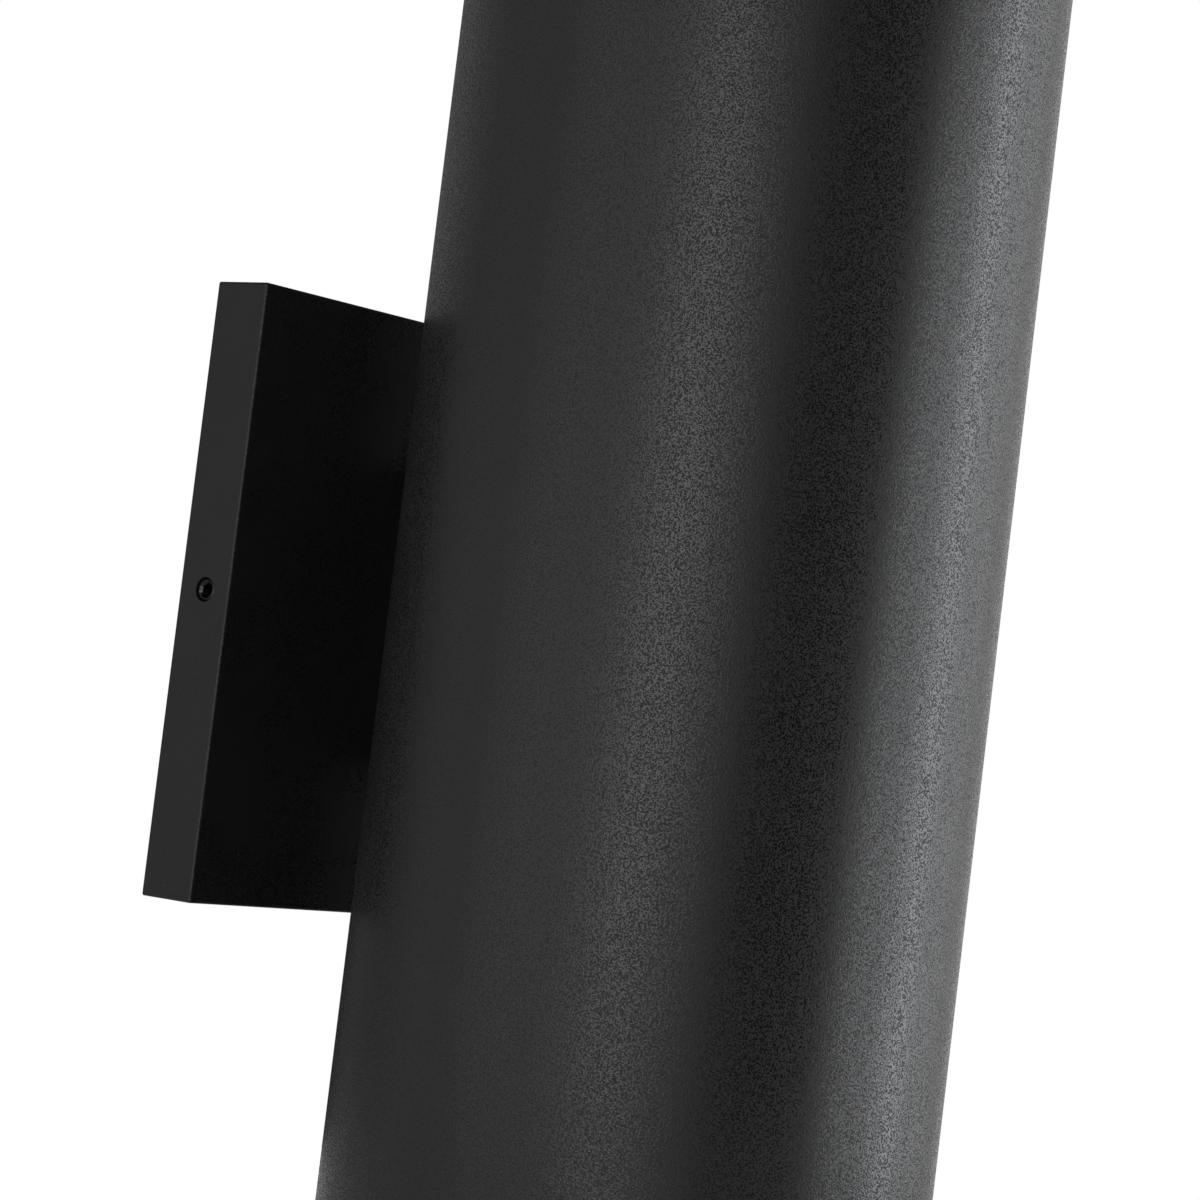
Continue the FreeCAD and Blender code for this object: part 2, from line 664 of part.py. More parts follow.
def build_terminal_block():
    """Three-pole block on a pad inside the canopy, wired from above and below."""
    body = new_body("terminal_block")
    block = new_sketch(body, "Block", "XZ_Plane", f"{CANOPY_INSIDE} - terminal_pad - terminal_depth")
    draw_rectangle(block, "terminal_width", "terminal_height", up=TERMINAL_UP)
    pad(body, block, "terminal_depth")
    wells = new_sketch(body, "Wells", "XZ_Plane", f"{CANOPY_INSIDE} - terminal_pad - terminal_depth")
    for pole in (-1, 0, 1):
        draw_circle(wells, "terminal_well_radius", f"({pole}) * terminal_pitch", TERMINAL_UP)
    pocket(body, wells, "terminal_well_depth", reverse=True)
    fixings = new_sketch(body, "Fixings", "XZ_Plane", f"{CANOPY_INSIDE} - terminal_pad")
    for sign in ("-", "+"):
        draw_circle(fixings, "terminal_screw_diameter / 2 + thread_clearance",
                    f"({sign}1) * terminal_screw_spacing / 2", TERMINAL_UP)
    pocket(body, fixings, "terminal_depth")
    middle = f"(terminal_pad + terminal_depth / 2 - {CANOPY_INSIDE})"
    for sign, backwards in (("+", False), ("-", True)):
        face = f"({TERMINAL_UP} {sign} terminal_height / 2)"
        entries = new_sketch(body, "Entries", "XY_Plane", face)
        for pole in (-1, 0, 1):
            draw_circle(entries, "supply_lead_diameter / 2 + 2 * body_gap",
                        f"({pole}) * terminal_pitch", middle)
        pocket(body, entries, "lead_entry + body_gap", reverse=backwards)
    keep(body)
    screws = []
    for sign in ("-", "+"):
        place = (f"({sign}1) * terminal_screw_spacing / 2", TERMINAL_BACK, TERMINAL_UP)
        shank = rod("terminal_screw_diameter / 2", "terminal_depth + terminal_screw_grip",
                    *place, turn=FROM_WALL)
        head = rod("terminal_screw_diameter * small_head_ratio / 2", "terminal_screw_head_height",
                   *place, turn=TO_WALL)
        screws.append(join(shank, head))
    keep(group("terminal_screws", screws))


# ------------------------------------------------------------------ tube

def build_tube():
    """Extruded tube, turned out at both ends to leave a step that the castings seat on."""
    edge = "tube_end_chamfer"
    upper_half = [(TUBE_RADIUS, f"{TUBE_END} - {edge}"), (f"{TUBE_RADIUS} - {edge}", TUBE_END),
                  (f"{SEAT_RADIUS} + {edge}", TUBE_END), (SEAT_RADIUS, f"{TUBE_END} - {edge}"),
                  (SEAT_RADIUS, SHOULDER), (BORE_RADIUS, SHOULDER)]
    lower_half = [(across, f"-({up})") for across, up in reversed(upper_half)]
    body = turned("tube", upper_half + lower_half)
    passages = new_sketch(body, "Passages", "XZ_Plane", f"-{TUBE_RADIUS} - tube_wall")
    draw_circle(passages, "nipple_diameter / 2 + thread_clearance")
    for sign in ("-", "+"):
        draw_circle(passages, "saddle_screw_diameter / 2 + screw_hole_clearance",
                    up=f"({sign}1) * saddle_screw_spacing / 2")
    pocket(body, passages, "3 * tube_wall", reverse=True)
    keep(body, on_tube=True)


def build_backing_plate():
    """Strip inside the tube, round-backed to fit it, that every inner piece hangs from."""
    body = new_body("backing_plate")
    strip = new_sketch(body, "Strip", "XY_Plane")
    draw_rectangle(strip, "backing_width", "backing_thickness",
                   up=f"{BACKING_FRONT} + backing_thickness / 2")
    pad(body, strip, f"2 * {BACKING_END}", both_ways=True)
    round_back = new_sketch(body, "RoundBack", "XY_Plane")
    draw_circle(round_back, f"{BORE_RADIUS} - thread_clearance")
    draw_circle(round_back, f"{BORE_RADIUS} + backing_thickness")
    pocket(body, round_back, f"3 * {BACKING_END}", both_ways=True)
    threads = new_sketch(body, "Threads", "XZ_Plane", f"-{BACKING_FRONT}")
    draw_circle(threads, "nipple_diameter / 2 + thread_clearance")
    for sign in ("-", "+"):
        draw_circle(threads, "saddle_screw_diameter / 2 + thread_clearance",
                    up=f"({sign}1) * saddle_screw_spacing / 2")
        draw_circle(threads, "foot_screw_diameter / 2 + thread_clearance",
                    up=f"({sign}1) * {FOOT_SCREW_UP}")
    pocket(body, threads, "backing_thickness")
    keep(body, on_tube=True)


WEB_HALF = f"({DRIVER_REACH} + bracket_sheet)"
FOOT_SCREW_UP = f"({WEB_HALF} + bracket_foot_length / 2)"
EAR_SCREW_UP = f"({DRIVER_END} + driver_ear_length / 2)"
LEAD_LANE = f"({BACKING_FRONT} - lead_lane)"


def build_driver_bracket():
    """Steel strip bent like a hat; its crown holds the driver clear of the wire nipple."""
    body = new_body("driver_bracket")
    crown = WEB_FRONT
    crown_back = f"({WEB_FRONT} + bracket_sheet)"
    foot = f"({BACKING_FRONT} - bracket_sheet)"
    leg = f"({WEB_HALF} - bracket_sheet)"
    toe = f"({WEB_HALF} + bracket_foot_length)"
    upper = [(crown, WEB_HALF), (foot, WEB_HALF), (foot, toe), (BACKING_FRONT, toe),
             (BACKING_FRONT, leg), (crown_back, leg)]
    lower = [(out, f"-{up}") for out, up in reversed(upper)]
    section = new_sketch(body, "Section", "YZ_Plane")
    draw_outline(section, upper + lower)
    pad(body, section, "driver_bracket_width", both_ways=True)
    holes = new_sketch(body, "Holes", "XZ_Plane", f"-{BACKING_FRONT}")
    for sign in ("-", "+"):
        draw_circle(holes, "foot_screw_diameter / 2 + thread_clearance",
                    up=f"({sign}1) * {FOOT_SCREW_UP}")
        draw_circle(holes, "ear_screw_diameter / 2 + thread_clearance",
                    up=f"({sign}1) * {EAR_SCREW_UP}")
    pocket(body, holes, "driver_standoff + 2 * bracket_sheet", reverse=True)
    notch = new_sketch(body, "LeadNotch", "XY_Plane", f"-{WEB_HALF}")
    draw_rectangle(notch, "lead_notch_width", "lead_notch_depth", up=LEAD_LANE)
    pocket(body, notch, "bracket_sheet", reverse=True)
    keep(body, on_tube=True)
    screws = []
    for sign in ("-", "+"):
        place = ("0", foot, f"({sign}1) * {FOOT_SCREW_UP}")
        shank = rod("foot_screw_diameter / 2", "foot_screw_length", *place, turn=TO_WALL)
        head = rod("foot_screw_diameter * small_head_ratio / 2", "small_head_height", *place, turn=FROM_WALL)
        screws.append(join(shank, head))
    keep(group("bracket_screws", screws), on_tube=True)


def build_driver():
    """Closed constant-current driver with a fixing ear at each end and push-in terminals."""
    body = new_body("driver")
    middle = f"({WEB_FRONT} - driver_depth / 2)"
    case = new_sketch(body, "Case", "XY_Plane")
    draw_rectangle(case, "driver_width", "driver_depth", up=middle)
    pad(body, case, f"2 * {DRIVER_END}", both_ways=True)
    dress_edges(body, "Fillet", "driver_edge_radius", straight_along(Vector(0, 0, 1)))
    ears = new_sketch(body, "Ears", "XZ_Plane", f"-{WEB_FRONT}")
    draw_rectangle(ears, "driver_ear_width", f"2 * {DRIVER_REACH}")
    for sign in ("-", "+"):
        draw_circle(ears, "ear_screw_diameter / 2 + thread_clearance",
                    up=f"({sign}1) * {EAR_SCREW_UP}")
    pad(body, ears, "driver_ear_thickness")
    for sign, backwards in (("+", False), ("-", True)):
        entries = new_sketch(body, "Entries", "XY_Plane", f"({sign}1) * {DRIVER_END}")
        for side in ("-", "+"):
            draw_circle(entries, "led_lead_diameter / 2 + body_gap",
                        f"({side}1) * led_lead_spread", f"{WEB_FRONT} - led_entry_depth")
        if backwards:
            for lead in (-1, 0, 1):
                draw_circle(entries, "supply_lead_diameter / 2 + end_clearance",
                            f"({lead}) * supply_lead_spread", f"{WEB_FRONT} - supply_entry_depth")
        pocket(body, entries, "lead_entry + body_gap", reverse=backwards)
    keep(body, on_tube=True)
    screws = []
    for sign in ("-", "+"):
        place = ("0", f"({WEB_FRONT} - driver_ear_thickness)", f"({sign}1) * {EAR_SCREW_UP}")
        shank = rod("ear_screw_diameter / 2", "ear_screw_length", *place, turn=TO_WALL)
        head = rod("ear_screw_diameter * small_head_ratio / 2", "small_head_height", *place, turn=FROM_WALL)
        screws.append(join(shank, head))
    keep(group("driver_screws", screws), on_tube=True)


def build_tie_rods():
    """Two rods that pull the end castings towards each other, with a nut on each end."""
    end = f"({CUP_FLOOR} + tie_rod_nut_thickness + tie_rod_end_reach)"
    rods = []
    nuts = []
    for side in ("-", "+"):
        across = f"({side}1) * {TIE_ROD_RADIUS}"
        rods.append(rod("tie_rod_diameter / 2", f"2 * {end}", across, "0", f"-{end}"))
        for low in (CUP_FLOOR, f"(-{CUP_FLOOR} - tie_rod_nut_thickness)"):
            blank = hexagon("tie_rod_nut_across", "tie_rod_nut_thickness", across, "0", low)
            thread = rod("tie_rod_diameter / 2 + thread_clearance", "tie_rod_nut_thickness",
                         across, "0", low)
            nuts.append(cut(blank, thread))
    keep(group("tie_rods", rods), on_tube=True)
    keep(group("tie_rod_nuts", nuts), on_tube=True)


# ------------------------------------------------------------------ light engine at each end

def build_heat_sink(end, lower_end):
    """Cast cup: rim on the tube's step, light engine on its floor, fins below it."""
    rim = f"({SEAT_RADIUS} - end_clearance)"
    rim_step = f"({REFLECTOR_RIM} + end_clearance)"
    outside = f"({CUP_RADIUS} + cup_wall)"
    body = turned(f"{end}_heat_sink", [
        ("0", SINK_BACK), (outside, SINK_BACK), (outside, SHOULDER),
        (rim, SHOULDER), (rim, LENS_TOP), (POCKET_RADIUS, LENS_TOP), (POCKET_RADIUS, POCKET_FLOOR),
        (rim_step, POCKET_FLOOR), (rim_step, RIM_SEAT), (CUP_RADIUS, RIM_SEAT),
        (CUP_RADIUS, CUP_FLOOR), ("0", CUP_FLOOR)])
    fin = new_sketch(body, "Fin", "XY_Plane", FIN_END, turn="180 / fin_count")
    fin_tip = f"({outside} - fin_inset)"
    draw_rectangle(fin, f"{fin_tip} - fin_inner_radius", "fin_thickness",
                   across=f"({fin_tip} + fin_inner_radius) / 2")
    fin_pad = pad(body, fin, "fin_height + cup_floor / 2")
    repeat_round(body, [fin_pad], "fin_count")
    floor_holes = new_sketch(body, "FloorHoles", "XY_Plane", CUP_FLOOR)
    for side in ("-", "+"):
        draw_circle(floor_holes, "tie_rod_diameter / 2 + thread_clearance",
                    f"({side}1) * {TIE_ROD_RADIUS}")
        draw_circle(floor_holes, "holder_screw_diameter / 2 + thread_clearance",
                    f"({side}1) * holder_screw_radius")
    draw_circle(floor_holes, "led_lead_hole_diameter / 2", up=f"-{LEAD_HOLE_RADIUS}")
    pocket(body, floor_holes, "cup_floor")
    thread = new_sketch(body, "BezelThread", "XY_Plane", LENS_TOP)
    draw_circle(thread, "bezel_screw_diameter / 2 + thread_clearance", up=BEZEL_BOLT_RADIUS)
    thread_pocket = pocket(body, thread, f"{LENS_TOP} - {SHOULDER} - end_clearance")
    repeat_round(body, [thread_pocket], "bezel_screw_count")
    keep(body, True, lower_end)


def build_led(end, lower_end):
    """Chip-on-board module, its phosphor dome and the moulded holder that clamps it."""
    board = new_body(f"{end}_led_board")
    plate = new_sketch(board, "Plate", "XY_Plane", CUP_FLOOR)
    draw_rectangle(plate, "led_board_size", "led_board_size")
    pad(board, plate, "led_board_thickness")
    keep(board, True, lower_end)

    low = f"({CUP_FLOOR} + led_board_thickness)"
    high = f"({low} + led_dome_height)"
    edge = "led_dome_radius - led_dome_height"
    dome = turned(f"{end}_led_dome", [("0", low), ("led_dome_radius", low), (edge, high), ("0", high)])
    keep(dome, True, lower_end)

    holder = new_body(f"{end}_led_holder")
    disc = new_sketch(holder, "Disc", "XY_Plane", CUP_FLOOR)
    draw_circle(disc, "led_holder_radius")
    draw_circle(disc, "led_holder_aperture")
    for side in ("-", "+"):
        draw_circle(disc, "holder_screw_diameter / 2 + end_clearance",
                    f"({side}1) * holder_screw_radius")
    pad(holder, disc, "led_holder_thickness")
    nest = new_sketch(holder, "BoardNest", "XY_Plane", CUP_FLOOR)
    nest_side = "led_board_size + 2 * end_clearance"
    draw_rectangle(nest, nest_side, nest_side)
    pocket(holder, nest, "led_board_thickness + thread_clearance", reverse=True)
    entries = new_sketch(holder, "Entries", "XZ_Plane", "led_holder_radius")
    for side in ("-", "+"):
        draw_circle(entries, "led_lead_diameter / 2 + end_clearance",
                    f"({side}1) * led_lead_spread", f"{CUP_FLOOR} + led_lead_rise")
    pocket(holder, entries, "lead_entry + body_gap")
    keep(holder, True, lower_end)

    screws = []
    top = HOLDER_TOP
    for side in ("-", "+"):
        place = (f"({side}1) * holder_screw_radius", "0", top)
        shank = rod("holder_screw_diameter / 2", "holder_screw_length", *place, turn=DOWN)
        head = rod("holder_screw_diameter * small_head_ratio / 2", "small_head_height", *place)
        screws.append(join(shank, head))
    keep(group(f"{end}_holder_screws", screws), True, lower_end)


def build_optics(end, lower_end):
    """Spun reflector, lens gasket, glass lens and the screwed bezel that holds them."""
    wall = "reflector_sheet"
    mouth = f"({CUP_RADIUS} - body_gap)"
    reflector = turned(f"{end}_reflector", [
        ("reflector_throat_radius", HOLDER_TOP), (mouth, RIM_SEAT), (REFLECTOR_RIM, RIM_SEAT),
        (REFLECTOR_RIM, REFLECTOR_TOP), (f"{mouth} - {wall}", REFLECTOR_TOP),
        (f"reflector_throat_radius - {wall}", HOLDER_TOP)])
    keep(reflector, True, lower_end)

    outer = f"({POCKET_RADIUS} - end_clearance)"
    gasket = turned(f"{end}_lens_gasket", [
        (f"{outer} - lens_gasket_width", POCKET_FLOOR), (outer, POCKET_FLOOR),
        (outer, GASKET_TOP), (f"{outer} - lens_gasket_width", GASKET_TOP)])
    keep(gasket, True, lower_end)

    edge = "lens_edge_chamfer"
    radius = LENS_RADIUS
    lens = turned(f"{end}_lens", [
        ("0", GASKET_TOP), (f"{radius} - {edge}", GASKET_TOP), (radius, f"{GASKET_TOP} + {edge}"),
        (radius, f"{LENS_TOP} - {edge}"), (f"{radius} - {edge}", LENS_TOP), ("0", LENS_TOP)])
    keep(lens, True, lower_end)

    rim = f"({SEAT_RADIUS} - 2 * end_clearance)"
    top = f"({LENS_TOP} + bezel_thickness)"
    bezel = turned(f"{end}_bezel", [
        (BEZEL_OPENING, LENS_TOP), (rim, LENS_TOP), (rim, top),
        (f"{BEZEL_OPENING} + bezel_inner_chamfer", top),
        (BEZEL_OPENING, f"{top} - bezel_inner_chamfer")])
    hole = new_sketch(bezel, "Hole", "XY_Plane", top)
    draw_circle(hole, "bezel_screw_diameter / 2 + end_clearance", up=BEZEL_BOLT_RADIUS)
    hole_pocket = pocket(bezel, hole, "bezel_thickness")
    sink = bezel.newObject("PartDesign::Groove", "Countersink")
    cone_section = new_sketch(bezel, "CountersinkSection", "YZ_Plane")
    head = "bezel_screw_head_diameter / 2 + end_clearance"
    narrow = "bezel_screw_diameter / 2 + end_clearance"
    draw_outline(cone_section, [(BEZEL_BOLT_RADIUS, top), (f"{BEZEL_BOLT_RADIUS} + {head}", top),
                                (f"{BEZEL_BOLT_RADIUS} + {narrow}", f"{top} - ({head}) + ({narrow})"),
                                (BEZEL_BOLT_RADIUS, f"{top} - ({head}) + ({narrow})")])
    sink.Profile = cone_section
    sink.ReferenceAxis = (cone_section, ["Edge4"])
    sink.Angle = 360
    document.recompute()
    repeat_round(bezel, [hole_pocket, sink], "bezel_screw_count")
    keep(bezel, True, lower_end)


def build_bezel_screws(end, lower_end):
    """Countersunk hex-socket screws, flush with the bezel."""
    top = f"({LENS_TOP} + bezel_thickness)"
    shank_radius = "bezel_screw_diameter / 2"
    head_radius = "bezel_screw_head_diameter / 2"
    screws = []
    for index in range(int(value("bezel_screw_count"))):
        angle = f"(90 + {index} * 360 / bezel_screw_count)"
        across = f"{BEZEL_BOLT_RADIUS} * cos({angle})"
        out = f"{BEZEL_BOLT_RADIUS} * sin({angle})"
        shank = rod(shank_radius, "bezel_screw_length", across, out, top, turn=DOWN)
        head = cone(head_radius, shank_radius, f"{head_radius} - {shank_radius}",
                    across, out, top, turn=DOWN)
        socket = hexagon("bezel_screw_socket", f"{head_radius} - {shank_radius}",
                         across, out, top, turn=DOWN)
        screws.append(cut(join(shank, head), socket))
    keep(group(f"{end}_bezel_screws", screws), True, lower_end)


# ------------------------------------------------------------------ leads

def lead_solid(points, radius, tightest=None):
    """A lead along straight runs joined by tangent arcs through the given points."""
    edges = []
    start = points[0]
    for before, corner, after in zip(points, points[1:], points[2:]):
        into = (corner - before)
        out_of = (after - corner)
        half_turn = into.getAngle(out_of) / 2
        tangent = 0.45 * min(into.Length, out_of.Length)
        if tightest is not None:
            tangent = min(tangent, tightest * tan(half_turn))
        print(f"lead bend radius {tangent / tan(half_turn):.1f}")
        arc_start = corner - into.normalize() * tangent
        arc_end = corner + out_of.normalize() * tangent
        centre_way = (out_of - into).normalize()
        bend = tangent / tan(half_turn)
        middle = corner + centre_way * (bend / cos(half_turn) - bend)
        edges.append(Part.LineSegment(start, arc_start).toShape())
        edges.append(Part.Arc(arc_start, middle, arc_end).toShape())
        start = arc_end
    edges.append(Part.LineSegment(start, points[-1]).toShape())
    path = Part.Wire(edges)
    section = Part.Wire([Part.makeCircle(radius, points[0], points[1] - points[0])])
    return path.makePipeShell([section], True, False)


def build_supply_leads():
    """Three leads: terminal block, up and through the nipple, down behind the driver, in below."""
    radius = value("supply_lead_diameter") / 2
    block_out = value(f"terminal_pad + terminal_depth / 2 - {CANOPY_INSIDE}")
    block_up = value(f"{TERMINAL_UP} + terminal_height / 2 - lead_entry")
    lane_out = value(f"{TUBE_AXIS} + {LEAD_LANE}")
    entry_out = value(f"{TUBE_AXIS} + {WEB_FRONT} - supply_entry_depth")
    turn_up = value(f"-{WEB_HALF} - lead_turn_room")
    entry_up = value(f"lead_entry - {DRIVER_END}")
    leads = []
    for lead in (-1, 0, 1):
        across = lead * value("supply_lead_spread")
        leads.append(lead_solid([
            Vector(lead * value("terminal_pitch"), block_out, block_up),
            Vector(across, block_out, 0),
            Vector(across, lane_out, 0),
            Vector(across, lane_out, turn_up),
            Vector(across, entry_out, turn_up),
            Vector(across, entry_out, entry_up)], radius, value("supply_lead_bend")))
    node = document.addObject("Part::Feature", "supply_leads")
    node.Label = "supply_leads"
    node.Shape = Part.makeCompound(leads)
    keep(node)


def build_led_leads(end, lower_end):
    """Two leads: out of the holder's side, down through the cup's floor, across to the driver."""
    radius = value("led_lead_diameter") / 2
    holder_out = value("lead_entry - led_holder_radius")
    holder_up = value(f"{CUP_FLOOR} + led_lead_rise")
    hole_out = -value(LEAD_HOLE_RADIUS)
    turn_up = value(f"{SINK_BACK} - led_lead_turn_drop")
    cross_up = value(f"{FIN_END} + led_lead_cross_rise")
    entry_out = value(f"{WEB_FRONT} - led_entry_depth")
    entry_up = value(f"{DRIVER_END} - lead_entry")
    leads = []
    for side in (-1, 1):
        across = side * value("led_lead_spread")
        leads.append(lead_solid([
            Vector(across, holder_out, holder_up),
            Vector(across, hole_out, holder_up),
            Vector(across, hole_out, turn_up),
            Vector(across, entry_out, cross_up),
            Vector(across, entry_out, entry_up)], radius))
    node = document.addObject("Part::Feature", f"{end}_led_leads")
    node.Label = f"{end}_led_leads"
    node.Shape = Part.makeCompound(leads)
    keep(node, True, lower_end)


# ------------------------------------------------------------------ assembly

build_wall_bracket()
build_ground_screw()
build_canopy()
build_canopy_gasket()
build_set_screws()
build_saddle()
build_saddle_screws()
build_wire_nipple()
build_terminal_block()
build_supply_leads()
build_tube()
build_backing_plate()
build_driver_bracket()
build_driver()
build_tie_rods()
for end, lower_end in (("upper", False), ("lower", True)):
    build_heat_sink(end, lower_end)
    build_led(end, lower_end)
    build_led_leads(end, lower_end)
    build_optics(end, lower_end)
    build_bezel_screws(end, lower_end)

document.recompute()

for item in document.Objects:
    if "Invalid" in item.State or "Error" in item.State:
        raise RuntimeError(f"{item.Label} ({item.TypeId}) did not recompute: {item.State}")
for node in nodes:
    if node.Shape.isNull() or not node.Shape.isValid():
        raise RuntimeError(f"{node.Label} has no valid shape")

os.makedirs("parts", exist_ok=True)
for node in nodes:
    node.Shape.exportStep(f"parts/{node.Label}.step")
    box = node.Shape.BoundBox
    print(f"{node.Label:22s} solids {len(node.Shape.Solids)}  volume {node.Shape.Volume:10.1f}  "
          f"x {box.XMin:7.2f} {box.XMax:7.2f}  y {box.YMin:7.2f} {box.YMax:7.2f}  "
          f"z {box.ZMin:7.2f} {box.ZMax:7.2f}")
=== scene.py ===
"""Looks of the tube wall light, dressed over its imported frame.

Metres, +Z up, the wall behind the light at y = 0 and the light standing out towards -Y.
The sections go through the light by its finishes, from the coated shell inwards.
"""
import math

import bmesh
import bpy
from mathutils import Matrix, Vector


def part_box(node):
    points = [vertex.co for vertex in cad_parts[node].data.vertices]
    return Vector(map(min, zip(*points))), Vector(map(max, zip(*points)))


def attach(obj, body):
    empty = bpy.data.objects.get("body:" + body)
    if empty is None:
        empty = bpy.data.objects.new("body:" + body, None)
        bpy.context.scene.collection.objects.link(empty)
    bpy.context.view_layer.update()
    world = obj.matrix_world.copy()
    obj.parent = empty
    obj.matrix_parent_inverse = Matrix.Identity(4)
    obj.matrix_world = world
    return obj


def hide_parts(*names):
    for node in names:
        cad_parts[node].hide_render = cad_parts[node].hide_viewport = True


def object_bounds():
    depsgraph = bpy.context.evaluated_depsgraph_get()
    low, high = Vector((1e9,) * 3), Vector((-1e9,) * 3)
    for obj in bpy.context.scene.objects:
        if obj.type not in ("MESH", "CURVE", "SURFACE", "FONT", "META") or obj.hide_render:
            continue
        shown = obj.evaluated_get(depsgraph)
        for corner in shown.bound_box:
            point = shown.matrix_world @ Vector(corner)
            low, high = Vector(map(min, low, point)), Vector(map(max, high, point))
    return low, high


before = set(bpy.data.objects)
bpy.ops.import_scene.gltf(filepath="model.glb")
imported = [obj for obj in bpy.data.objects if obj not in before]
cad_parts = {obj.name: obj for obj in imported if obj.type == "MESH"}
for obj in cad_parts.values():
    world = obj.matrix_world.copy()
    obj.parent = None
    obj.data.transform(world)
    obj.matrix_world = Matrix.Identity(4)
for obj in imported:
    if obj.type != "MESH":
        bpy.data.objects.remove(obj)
cad_low, cad_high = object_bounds()


# ---------------------------------------------------------------- powder-coated shell
# The tube, its square canopy, the saddle between them and the bezels in the tube's mouths.
# All are aluminium, sprayed with a fine-textured black powder that is baked to a tough skin.
# The skin is pebbled like fine sandpaper and lies a little thinner over the sharp edges.

mm = 0.001
ends = ("upper", "lower")
wear_width = 0.3 * mm
wear_runs_per_metre = 90.0
pebbles_per_metre = 2900.0
pebble_height = 0.06 * mm
coat_dark = (0.0100, 0.0100, 0.0104)
coat_light = (0.0150, 0.0150, 0.0156)
coat_worn = (0.030, 0.030, 0.031)


def stretched_place(tree, across, out, up):
    """Object coordinates scaled apart along each axis, in features per metre."""
    place = tree.nodes.new("ShaderNodeTexCoord")
    stretch = tree.nodes.new("ShaderNodeMapping")
    stretch.inputs["Scale"].default_value = (across, out, up)
    tree.links.new(place.outputs["Object"], stretch.inputs["Vector"])
    return stretch.outputs["Vector"]


def noise(tree, place, detail=2.0, roughness=0.5, distortion=0.0):
    """A noise mask over a place that is already scaled."""
    node = tree.nodes.new("ShaderNodeTexNoise")
    node.inputs["Scale"].default_value = 1.0
    node.inputs["Detail"].default_value = detail
    node.inputs["Roughness"].default_value = roughness
    node.inputs["Distortion"].default_value = distortion
    tree.links.new(place, node.inputs["Vector"])
    return node.outputs["Fac"]


def even_noise(tree, per_metre, detail=2.0, roughness=0.5, distortion=0.0):
    """A noise mask with features of the same size every way."""
    place = stretched_place(tree, per_metre, per_metre, per_metre)
    return noise(tree, place, detail, roughness, distortion)


def maths(tree, operation, first, second=None, clamp=False):
    """One Math node: a number is written into its socket, an output is linked to it."""
    node = tree.nodes.new("ShaderNodeMath")
    node.operation = operation
    node.use_clamp = clamp
    for socket, source in zip(node.inputs, (first, second)):
        if isinstance(source, (int, float)):
            socket.default_value = source
        elif source is not None:
            tree.links.new(source, socket)
    return node.outputs[0]


def span(tree, mask, low, high, bottom=0.0, top=1.0):
    """Map a mask smoothly from low..high onto bottom..top."""
    node = tree.nodes.new("ShaderNodeMapRange")
    node.interpolation_type = "SMOOTHSTEP"
    tree.links.new(mask, node.inputs["Value"])
    node.inputs["From Min"].default_value = low
    node.inputs["From Max"].default_value = high
    node.inputs["To Min"].default_value = bottom
    node.inputs["To Max"].default_value = top
    return node.outputs["Result"]


def blend_colours(tree, mask, first, second):
    """A colour that goes from the first to the second (colours or outputs) by a mask."""
    node = tree.nodes.new("ShaderNodeMix")
    node.data_type = "RGBA"
    tree.links.new(mask, node.inputs["Factor"])
    for socket, colour in ((node.inputs["A"], first), (node.inputs["B"], second)):
        if isinstance(colour, tuple):
            socket.default_value = (*colour, 1)
        else:
            tree.links.new(colour, socket)
    return node.outputs["Result"]


def edge_wear_group():
    """Mask that rises over sharp outer edges, broken up so that wear comes in short runs."""
    group = bpy.data.node_groups.new("edge_wear", "ShaderNodeTree")
    for name, usual in (("Width", wear_width), ("Runs", wear_runs_per_metre)):
        socket = group.interface.new_socket(name, in_out="INPUT", socket_type="NodeSocketFloat")
        socket.default_value = usual
    group.interface.new_socket("Wear", in_out="OUTPUT", socket_type="NodeSocketFloat")
    given = group.nodes.new("NodeGroupInput")
    result = group.nodes.new("NodeGroupOutput")
    rounded_normal = group.nodes.new("ShaderNodeBevel")
    rounded_normal.samples = 4
    group.links.new(given.outputs["Width"], rounded_normal.inputs["Radius"])
    plain_normal = group.nodes.new("ShaderNodeNewGeometry")
    closeness = group.nodes.new("ShaderNodeVectorMath")
    closeness.operation = "DOT_PRODUCT"
    group.links.new(rounded_normal.outputs["Normal"], closeness.inputs[0])
    group.links.new(plain_normal.outputs["Normal"], closeness.inputs[1])
    turn = maths(group, "SUBTRACT", 1.0, closeness.outputs["Value"], clamp=True)
    spaced = group.nodes.new("ShaderNodeVectorMath")
    spaced.operation = "SCALE"
    group.links.new(stretched_place(group, 1, 1, 1), spaced.inputs["Vector"])
    group.links.new(given.outputs["Runs"], spaced.inputs["Scale"])
    patches = noise(group, spaced.outputs["Vector"], detail=4.0, roughness=0.7)
    broken = maths(group, "MULTIPLY", span(group, turn, 0.02, 0.2), span(group, patches, 0.45, 0.65))
    group.links.new(broken, result.inputs["Wear"])
    return group


edge_wear = edge_wear_group()


def tint(tree, shader, mask, first, second, worn=None, width=wear_width, runs=wear_runs_per_metre):
    """Colour from the first to the second by a mask, and on to the worn colour at sharp edges."""
    colour = blend_colours(tree, mask, first, second)
    if worn:
        wear = tree.nodes.new("ShaderNodeGroup")
        wear.node_tree = edge_wear
        wear.inputs["Width"].default_value = width
        wear.inputs["Runs"].default_value = runs
        colour = blend_colours(tree, wear.outputs["Wear"], colour, worn)
    tree.links.new(colour, shader.inputs["Base Color"])


def raise_skin(tree, shader, height, distance, strength=1.0):
    """Bump a surface by a height mask; the distance is the relief in metres."""
    bump = tree.nodes.new("ShaderNodeBump")
    bump.inputs["Distance"].default_value = distance
    bump.inputs["Strength"].default_value = strength
    tree.links.new(height, bump.inputs["Height"])
    tree.links.new(bump.outputs["Normal"], shader.inputs["Normal"])


